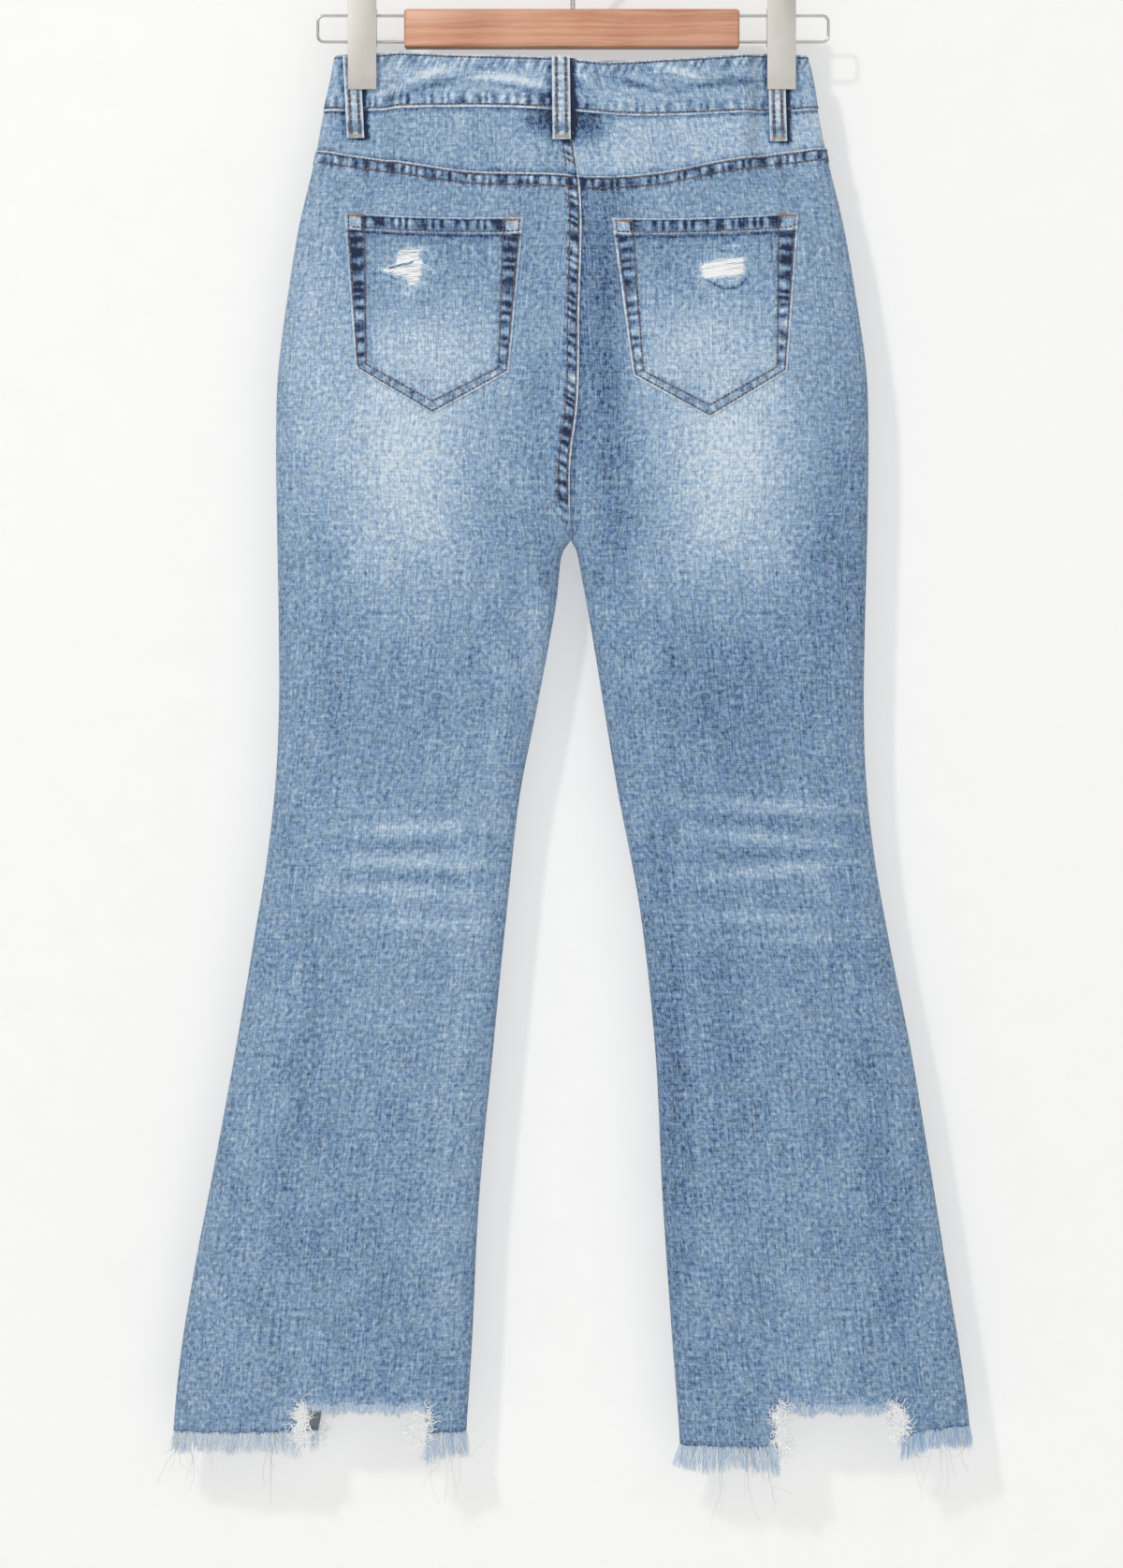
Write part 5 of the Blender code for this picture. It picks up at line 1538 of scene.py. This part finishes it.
def bartacks(finishes):
    """Dense short bars of thread at the pockets' top corners and at the loops' lower ends."""
    places = []
    for pocket in POCKETS:
        for corner, toward in ((pocket.top_inner, pocket.side), (pocket.top_outer, -pocket.side)):
            x, drop = corner[0] + toward * 2.2, corner[1] + 2.4
            lift = POCKET_LIFT + POCKET_HEM_RAISE
            places.append(("rust", pocket.side, BACK, x, drop, toward * BARTACK_LENGTH, lift))
    for loop in LOOPS:
        lift = FELL_RAISE + LOOP_CLEAR + LOOP_CLOTH
        start = loop.low_x - loop.width / 2 + BARTACK_INSET
        over = loop.width - 2 * BARTACK_INSET
        places.append(("cream", loop.side, loop.face, start, loop.low - 2.0, over, lift))
    lines = {"rust": [], "cream": []}
    ends = np.array([-1, -0.6, 0, 0.6, 1]) * BARTACK_HALF
    for kind, side, face, x, drop, over, lift in places:
        count = int(abs(over) / BARTACK_PITCH)
        for number in range(count):
            middle = x + over * (number + 0.5) / count
            points, facing = height_on(side, face, middle + ends * 0.25, drop + ends)
            height = lift + np.array([-0.2, 0.35, 0.5, 0.35, -0.2])
            lines[kind].append(points + facing * height[:, None])
    for kind, some in lines.items():
        tubes(f"bartacks_{kind}", some, [np.full(5, 0.2)] * len(some), finishes[kind], "denim", sides=4,
              tints=chance.uniform(0.2, 0.9, len(some)))


def strand(root, length, lean, curl, out, steps):
    """A hanging thread from its root, leaning aside and curling a little."""
    part = np.linspace(0, 1, steps)
    sway = curl * np.sin(part * chance.uniform(2.5, 6.0) + chance.uniform(0, 6.28)) * part
    x = root[0] + lean * length * part + sway
    y = root[1] + out * length * part * 0.35 + 0.5 * sway
    z = root[2] - length * part * math.sqrt(max(1 - lean**2, 0.2))
    return np.stack([x, y, z], axis=-1)


def tangle(root, length, turn, steps, wander, out=0.0):
    """A frayed thread that wanders from its root; its turn is from straight down."""
    turns = turn + np.cumsum(chance.normal(0, wander, steps - 1))
    step = length / (steps - 1)
    ways = np.stack([np.sin(turns), np.zeros(steps - 1), -np.cos(turns)], axis=-1) * step
    line = root + np.concatenate([np.zeros((1, 3)), np.cumsum(ways, axis=0)])
    line[:, 1] += out * np.linspace(0, 1, steps) + 0.6 * np.sin(np.linspace(0, 5, steps) + length)
    return line


THREAD_CLEAR = 0.2
FRINGE_LENGTHS = {"outer": (11, 19), "notch": (3.5, 9), "inner": (14, 23)}
# Where wisps of long threads hang, as shares, the threads in one and how far they sway.
LONG_THREADS = {LEFT: (0.04, 0.09, 0.14, 0.36, 0.90, 0.95), RIGHT: (0.05, 0.10, 0.22, 0.64, 0.70, 0.76, 0.86)}
WISP, WISP_SPREAD = 5, 0.5
LONG_LENGTHS = (26, 68)
FRINGE_PITCH = {BACK: 0.00066, FRONT: 0.0018}
FRINGE_TAPER = np.array([1, 1, 1, 0.9, 0.7, 0.3])
# How much dye the fringe has kept, by stretch and by side.
BLUER = {
    "outer": {LEFT: 0.0, RIGHT: 0.42},
    "notch": {LEFT: 0.22, RIGHT: 0.22},
    "inner": {LEFT: 0.12, RIGHT: 0.12},
}


def torn_edge(side, face, hem, share, above):
    """The cloth's point a little above its torn edge, at one share of the girth."""
    drop = float(hem_drop(hem, np.array(share))) - above
    return trace(side, face, share, 0.0, drop)[0]


def fringe_threads(side, face, hem):
    """The warp threads that hang from one panel's torn edge."""
    lines, radii, tints = [], [], []
    for share in np.arange(0.004, 0.997, FRINGE_PITCH[face]):
        share = share + chance.uniform(-0.0008, 0.0008)
        if share < hem.notch_from:
            stretch, from_notch = "outer", hem.notch_from - share
        elif share > hem.notch_to:
            stretch, from_notch = "inner", share - hem.notch_to
        else:
            stretch, from_notch = "notch", 1.0
        low, high = FRINGE_LENGTHS[stretch]
        wave = 0.62 + 0.16 * math.sin(share * 37) + 0.10 * math.sin(share * 91 + 2)
        length = low + (high - low) * wave * chance.uniform(0.45, 1.1)
        length *= 1 + 0.3 * bell(from_notch / 0.03)
        if chance.uniform() < 0.16:
            length *= chance.uniform(0.35, 0.8)
        fan = (share - (hem.notch_to + 1) / 2) * 1.1 if stretch == "inner" else 0.0
        clump = 0.12 * math.sin(share * 160 + 3 * math.sin(share * 43))
        lean = chance.normal(0, 0.09) + clump - side * fan * 0.9
        root = torn_edge(side, face, hem, share, 1.4) + [0, face * chance.uniform(-1.0, 0.35), 0]
        curl, out = chance.uniform(0.2, 1.1), face * chance.normal(0.05, 0.12)
        line = strand(root, length, lean, curl, out, len(FRINGE_TAPER))
        lines.append(keep_side(line, face, THREAD_CLEAR))
        radii.append(chance.uniform(0.24, 0.40) * FRINGE_TAPER)
        tints.append(chance.uniform(0.35, 1.2) - BLUER[stretch][side] + 0.12 * math.sin(share * 160))
    return lines, radii, tints


# Clumps at each corner of a notch, the threads in one and how far they spread.
CLUMPS = {BACK: 13, FRONT: 6}
CLUMP_THREADS = 15
CLUMP_SPREAD = (1.7, 0.25, 1.7)
TUFT_REACH = {1: 5, -1: 9}


def notch_tufts(side, face, hem):
    """White weft threads that bunch in clumps at the two corners of a chewed-out notch."""
    tufts = []
    for edge, inward in ((hem.notch_from, 1), (hem.notch_to, -1)):
        low = hem.outer if inward > 0 else hem.inner
        toward = -side * inward
        for number in range(CLUMPS[face]):
            drop = hem.notch - 1 + (low + 6 - hem.notch) * (number + chance.uniform()) / CLUMPS[face]
            middle = trace(side, face, edge + chance.uniform(-0.012, 0.004) * inward, 0.0, drop)[0]
            over = toward * chance.uniform(-1, TUFT_REACH[inward])
            middle = middle + [over, face * chance.uniform(-0.2, 0.8), 0]
            for _ in range(CLUMP_THREADS):
                root = middle + chance.normal(0, 1, 3) * CLUMP_SPREAD
                turn = toward * chance.uniform(-1.6, 2.2)
                line = tangle(root, chance.uniform(4, 13), turn, 9, 0.7, face * chance.uniform(0, 0.8))
                tufts.append((keep_side(line, face, THREAD_CLEAR), chance.uniform(0.34, 0.62)))
    return tufts


def hem_fringes(finishes):
    """Loose warp threads along the torn hems, white tufts at the notches' corners and wisps of long ones."""
    fringes, tufts, wisps = {}, [], []
    for (side, face), hem in HEMS.items():
        lines, radii, tints = fringe_threads(side, face, hem)
        tufts += notch_tufts(side, face, hem)
        for share in np.repeat(LONG_THREADS[side], WISP) if face == BACK else ():
            share = share + chance.uniform(-0.015, 0.015)
            root = torn_edge(side, face, hem, share, 1)
            line = tangle(root, chance.uniform(*LONG_LENGTHS), chance.uniform(-0.35, 0.35), 26, 0.24)
            line[:, 0] = root[0] + (line[:, 0] - root[0]) * WISP_SPREAD
            wisps.append(keep_side(line, face, THREAD_CLEAR))
        name = f"fringe_threads_{SIDES[side]}_{FACES[face]}"
        obj = tubes(name, lines, radii, finishes["frayed"], tints=tints, depth=0.5)
        nodes = [f"fringe_{SIDES[side]}_{FACES[face]}_{part}" for part in FRINGE_LENGTHS]
        fringes[f"{FACES[face]}_panel_{SIDES[side]}"] = [stands_for(obj, nodes, "frayed_cotton")]
    thick = [radius * np.linspace(1, 0.5, len(line)) for line, radius in tufts]
    tubes("notch_tufts", [line for line, _ in tufts], thick, finishes["white"], sides=4,
          tints=chance.uniform(0.4, 1.0, len(tufts)), depth=0.45)
    fine = [np.linspace(0.24, 0.12, len(line)) for line in wisps]
    tints = chance.uniform(0, 1, len(wisps))
    tubes("long_threads", wisps, fine, finishes["raw"], tints=tints, depth=0.6)
    return fringes


def wire(name, points, radius, finish):
    """A round rod through points in millimetres, made a mesh."""
    data = bpy.data.curves.new(name, "CURVE")
    data.dimensions = "3D"
    data.bevel_depth = radius * MM
    data.bevel_resolution = 6
    data.use_fill_caps = True
    spline = data.splines.new("POLY")
    spline.points.add(len(points) - 1)
    for place, point in zip(spline.points, points):
        place.co = (*(Vector(point) * MM), 1)
    obj = linked(name, data)
    bpy.context.view_layer.objects.active = obj
    obj.select_set(True)
    bpy.ops.object.convert(target="MESH")
    made = bpy.context.view_layer.objects.active
    made.select_set(False)
    made.data.materials.clear()
    made.data.materials.append(finish)
    made.data.shade_smooth()
    made.data.set_sharp_from_angle(angle=SHARP_ANGLE)
    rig.ride(made, "root")
    return made


CORNER_STEPS, NECK_STEPS, CROWN_STEPS = 12, 16, 66
CLIP_ROUNDING, BAR_ROUNDING = 0.22, 0.9


def hanger_rods(finish):
    """The two wire loops and the swivelling hook."""
    for side, name in SIDES.items():
        start = BAR_X[side] + side * SEAM_GAP
        end = WIRE_END_X[side] - side * WIRE_CORNER
        points = [(start, 0, WIRE_Z[0])]
        for turn, height in ((90, WIRE_Z[0] - WIRE_CORNER), (0, WIRE_Z[1] + WIRE_CORNER)):
            for step in range(CORNER_STEPS + 1):
                angle = math.radians(turn - step * 90 / CORNER_STEPS)
                x = end + side * WIRE_CORNER * math.cos(angle)
                points.append((x, 0, height + WIRE_CORNER * math.sin(angle)))
        points.append((start, 0, WIRE_Z[1]))
        obj = wire("wire_loop_" + name, points, WIRE_RADIUS, finish)
        stands_for(obj, ["hanger_wire_" + name], "satin_steel")
    centre = HOOK_WIRE - HOOK_RADIUS
    start = math.radians(HOOK_START)
    low = Vector((HOOK_RADIUS * math.cos(start), 0, centre + HOOK_RADIUS * math.sin(start)))
    neck = Vector((0, 0, BAR_TOP_Z + HOOK_STEM))
    points = [Vector((0, 0, BAR_TOP_Z + SEAM_GAP)), neck]
    ahead = neck + Vector((0, 0, HOOK_BEND))
    behind = low - Vector((-math.sin(start), 0, math.cos(start))) * HOOK_BEND
    for step in range(1, NECK_STEPS):
        part = step / NECK_STEPS
        points.append(neck * (1 - part) ** 3 + ahead * 3 * part * (1 - part) ** 2
                      + behind * 3 * part**2 * (1 - part) + low * part**3)
    for step in range(CROWN_STEPS + 1):
        angle = math.radians(HOOK_START + (HOOK_END - HOOK_START) * step / CROWN_STEPS)
        points.append(Vector((HOOK_RADIUS * math.cos(angle), 0, centre + HOOK_RADIUS * math.sin(angle))))
    hook = wire("swivel_hook", points, HOOK_WIRE, finish)
    stands_for(hook, ["hanger_hook"], "satin_steel")


def softened(node, name, finish, slot, width):
    """A finer copy of one of the solids, with its sharp edges rounded over."""
    obj = linked(name, bpy.data.objects[node].data.copy())
    obj.data.name = name
    bpy.ops.object.select_all(action="DESELECT")
    bpy.context.view_layer.objects.active = obj
    obj.select_set(True)
    bpy.ops.object.mode_set(mode="EDIT")
    bpy.ops.mesh.select_all(action="SELECT")
    bpy.ops.mesh.remove_doubles(threshold=0.00001)
    bpy.ops.mesh.dissolve_limited(angle_limit=math.radians(1))
    bpy.ops.object.mode_set(mode="OBJECT")
    change = obj.modifiers.new("rounding", "BEVEL")
    change.width = width * MM
    change.segments = 3
    change.limit_method = "ANGLE"
    change.angle_limit = math.radians(30)
    bpy.ops.object.modifier_apply(modifier=change.name)
    bpy.ops.object.shade_smooth_by_angle(angle=math.radians(40))
    obj.select_set(False)
    obj.data.materials.clear()
    obj.data.materials.append(finish)
    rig.ride(obj, "root")
    stands_for(obj, [node], slot)


# The room, the lamps and the camera are in metres and watts.
WALL_Y = 0.038
WALL_GLOW = 0.405
FLOOR_Z = -1.62
ROOM = 7.0
CAMERA_DISTANCE = 3.0
FRAME_HEIGHT = 1.1725
FRAME_X, FRAME_Z = -0.0084, -0.6536
SENSOR = 36.0
SKY_POWER = 0.34
AIM = Vector((0, 0, -0.62))

Lamp = namedtuple("Lamp", "name place size power colour")
LAMPS = table(
    Lamp,
    ("key", (-1.5, -2.6, 1.5), 0.24, 44.0, (1.0, 0.985, 0.96)),
    ("fill", (1.2, -3.2, 0.2), 3.2, 30.0, (0.98, 0.99, 1.0)),
    ("low fill", (-0.6, -3.0, -1.2), 2.6, 14.0, (1.0, 1.0, 1.0)),
    ("rear fill", (0.8, 3.2, 0.8), 3.0, 34.0, (1.0, 1.0, 1.0)),
)


def pale_paint():
    """Matt paint with a little light of its own, clear from behind."""
    glow = (1.0, 0.995, 0.985, 1)
    pale = Finish("matt white paint", roughness=0.95, Emission_Strength=WALL_GLOW, Emission_Color=glow)
    place = pale.node("TexCoord", {}, {}, output=3)
    share = pale.noise(place, (30, 30, 30), detail=3.0) + 0.5
    pale.colour(pale.ramp(share, (0.0, (0.52, 0.52, 0.51)), (1.0, (0.55, 0.55, 0.54))))
    pale.material.use_backface_culling = True
    behind = pale.node("NewGeometry", {}, {}, output=6)
    clear = pale.node("BsdfTransparent")
    both = pale.node("MixShader", {}, {0: behind, 1: Signal(pale, pale.shader.outputs[0]), 2: clear})
    pale.tree.links.new(both.socket, pale.tree.nodes["Material Output"].inputs[0])
    return pale.material


def room():
    """A pale wall close behind and a pale floor."""
    paint_of_room = pale_paint()
    for name, place, turn in (("wall", (0, WALL_Y, 1.0), math.pi / 2), ("floor", (0, 0, FLOOR_Z), 0.0)):
        bpy.ops.object.select_all(action="DESELECT")
        bpy.ops.mesh.primitive_plane_add(size=ROOM, location=place, rotation=(turn, 0, 0))
        plane = bpy.context.object
        plane.name = plane.data.name = name
        plane.data.materials.append(paint_of_room)
        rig.stage(plane)


def light():
    """Soft light from the upper left, with fills in front, below and behind."""
    for lamp in LAMPS:
        data = bpy.data.lights.new(lamp.name, "AREA")
        data.size, data.energy, data.color = lamp.size, lamp.power, lamp.colour
        obj = linked(lamp.name, data)
        obj.location = lamp.place
        obj.rotation_euler = (AIM - obj.location).to_track_quat("-Z", "Y").to_euler()
    world = bpy.data.worlds.new("studio")
    world.use_nodes = True
    background = world.node_tree.nodes["Background"]
    background.inputs[0].default_value = (0.95, 0.97, 1.0, 1)
    background.inputs[1].default_value = SKY_POWER
    bpy.context.scene.world = world
    bpy.context.scene.view_settings.view_transform = "Standard"


def photograph_view():
    """The photograph's camera: straight behind the jeans, level with their middle."""
    data = bpy.data.cameras.new("camera")
    data.lens = SENSOR * CAMERA_DISTANCE / FRAME_HEIGHT
    camera = linked("camera", data)
    camera.location = (FRAME_X, -CAMERA_DISTANCE, FRAME_Z)
    camera.rotation_euler = (math.pi / 2, 0, 0)
    bpy.context.scene.camera = camera


Cut = namedtuple("Cut", "width length area hangs_from")
# Flat sizes in metres, areas in square metres, and the piece that each one hangs from.
CUTS = {
    "back_panel_left": Cut(0.315, 0.960, 0.2000, "back_yoke_left"),
    "back_panel_right": Cut(0.310, 0.970, 0.1985, "back_yoke_right"),
    "front_panel_left": Cut(0.310, 0.990, 0.2000, "waistband_cloth_left"),
    "front_panel_right": Cut(0.310, 1.000, 0.2005, "waistband_cloth_right"),
    "back_yoke_left": Cut(0.205, 0.052, 0.0085, "waistband_cloth_left"),
    "back_yoke_right": Cut(0.200, 0.052, 0.0074, "waistband_cloth_right"),
    "hip_piece_left": Cut(0.115, 0.086, 0.0072, "waistband_cloth_left"),
    "hip_piece_right": Cut(0.115, 0.086, 0.0072, "waistband_cloth_right"),
    "waistband_cloth_left": Cut(0.380, 0.045, 0.0160, "clip_plate_left"),
    "waistband_cloth_right": Cut(0.390, 0.046, 0.0166, "clip_plate_right"),
    "patch_pocket_left": Cut(0.135, 0.151, 0.0160, "back_panel_left"),
    "patch_pocket_right": Cut(0.140, 0.154, 0.0167, "back_panel_right"),
    "loop_strap_centre": Cut(0.0134, 0.063, None, "waistband_cloth_left"),
    "loop_strap_left": Cut(0.0130, 0.062, None, "waistband_cloth_left"),
    "loop_strap_right": Cut(0.0126, 0.065, None, "waistband_cloth_right"),
    "loop_strap_front_left": Cut(0.0130, 0.058, None, "waistband_cloth_left"),
    "loop_strap_front_right": Cut(0.0130, 0.058, None, "waistband_cloth_right"),
}


def declare(made, fringes):
    """Says of each cloth piece that it is a sheet, the size it was cut to and what it hangs from."""
    for name, obj in made.items():
        cut = CUTS[name]
        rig.sheet(obj, flat=(cut.width, cut.length), held="hung", rests_on=[cut.hangs_from], area=cut.area,
                 with_pieces=fringes.get(name, []))


def main():
    """The room, then the finishes, then every piece and what is said of it."""
    room()
    light()
    photograph_view()
    denim = washed_denim()
    finishes = {kind: spun(kind) for kind in THREADS}
    satin = metal("satin nickel plate", linear(182, 177, 170), linear(212, 209, 203), 0.56, (40, 1200, 40))
    nickel = metal("nickel wire", linear(168, 164, 158), linear(218, 214, 206), 0.30, (40, 400, 400))
    wood = oiled_wood()
    made = {}
    for maker in (leg_panels, yoke_panels, hip_panels, waistbands, patch_pockets, belt_straps):
        made.update(maker(denim))
    sew("seam_stitches", seam_rows(), finishes["seam"], radius=0.64)
    sew("pocket_stitches", pocket_rows(), finishes["seam"], radius=0.62)
    sew("loop_stitches", loop_rows(), finishes["loop"], radius=1.15, pitch=3.9, share=0.84, depth=0.5)
    bartacks(finishes)
    rip_threads(finishes["white"])
    fringes = hem_fringes(finishes)
    hanger_rods(nickel)
    for name in SIDES.values():
        for part, new in (("back", "plate"), ("front", "jaw")):
            softened(f"clip_{name}_{part}", f"clip_{new}_{name}", satin, "satin_steel", CLIP_ROUNDING)
        bpy.data.objects[f"clip_{name}_spring"].material_slots[0].material = satin
    softened("hanger_bar", "wooden_bar", wood, "cherry_wood", BAR_ROUNDING)
    bpy.data.objects["waist_button"].material_slots[0].material = nickel
    declare(made, fringes)
    low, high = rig.bounds()
    with open("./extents.json", "w") as file:
        json.dump({"cad": [list(corner) for corner in CAD_BOX], "visual": [list(low), list(high)]}, file)


main()
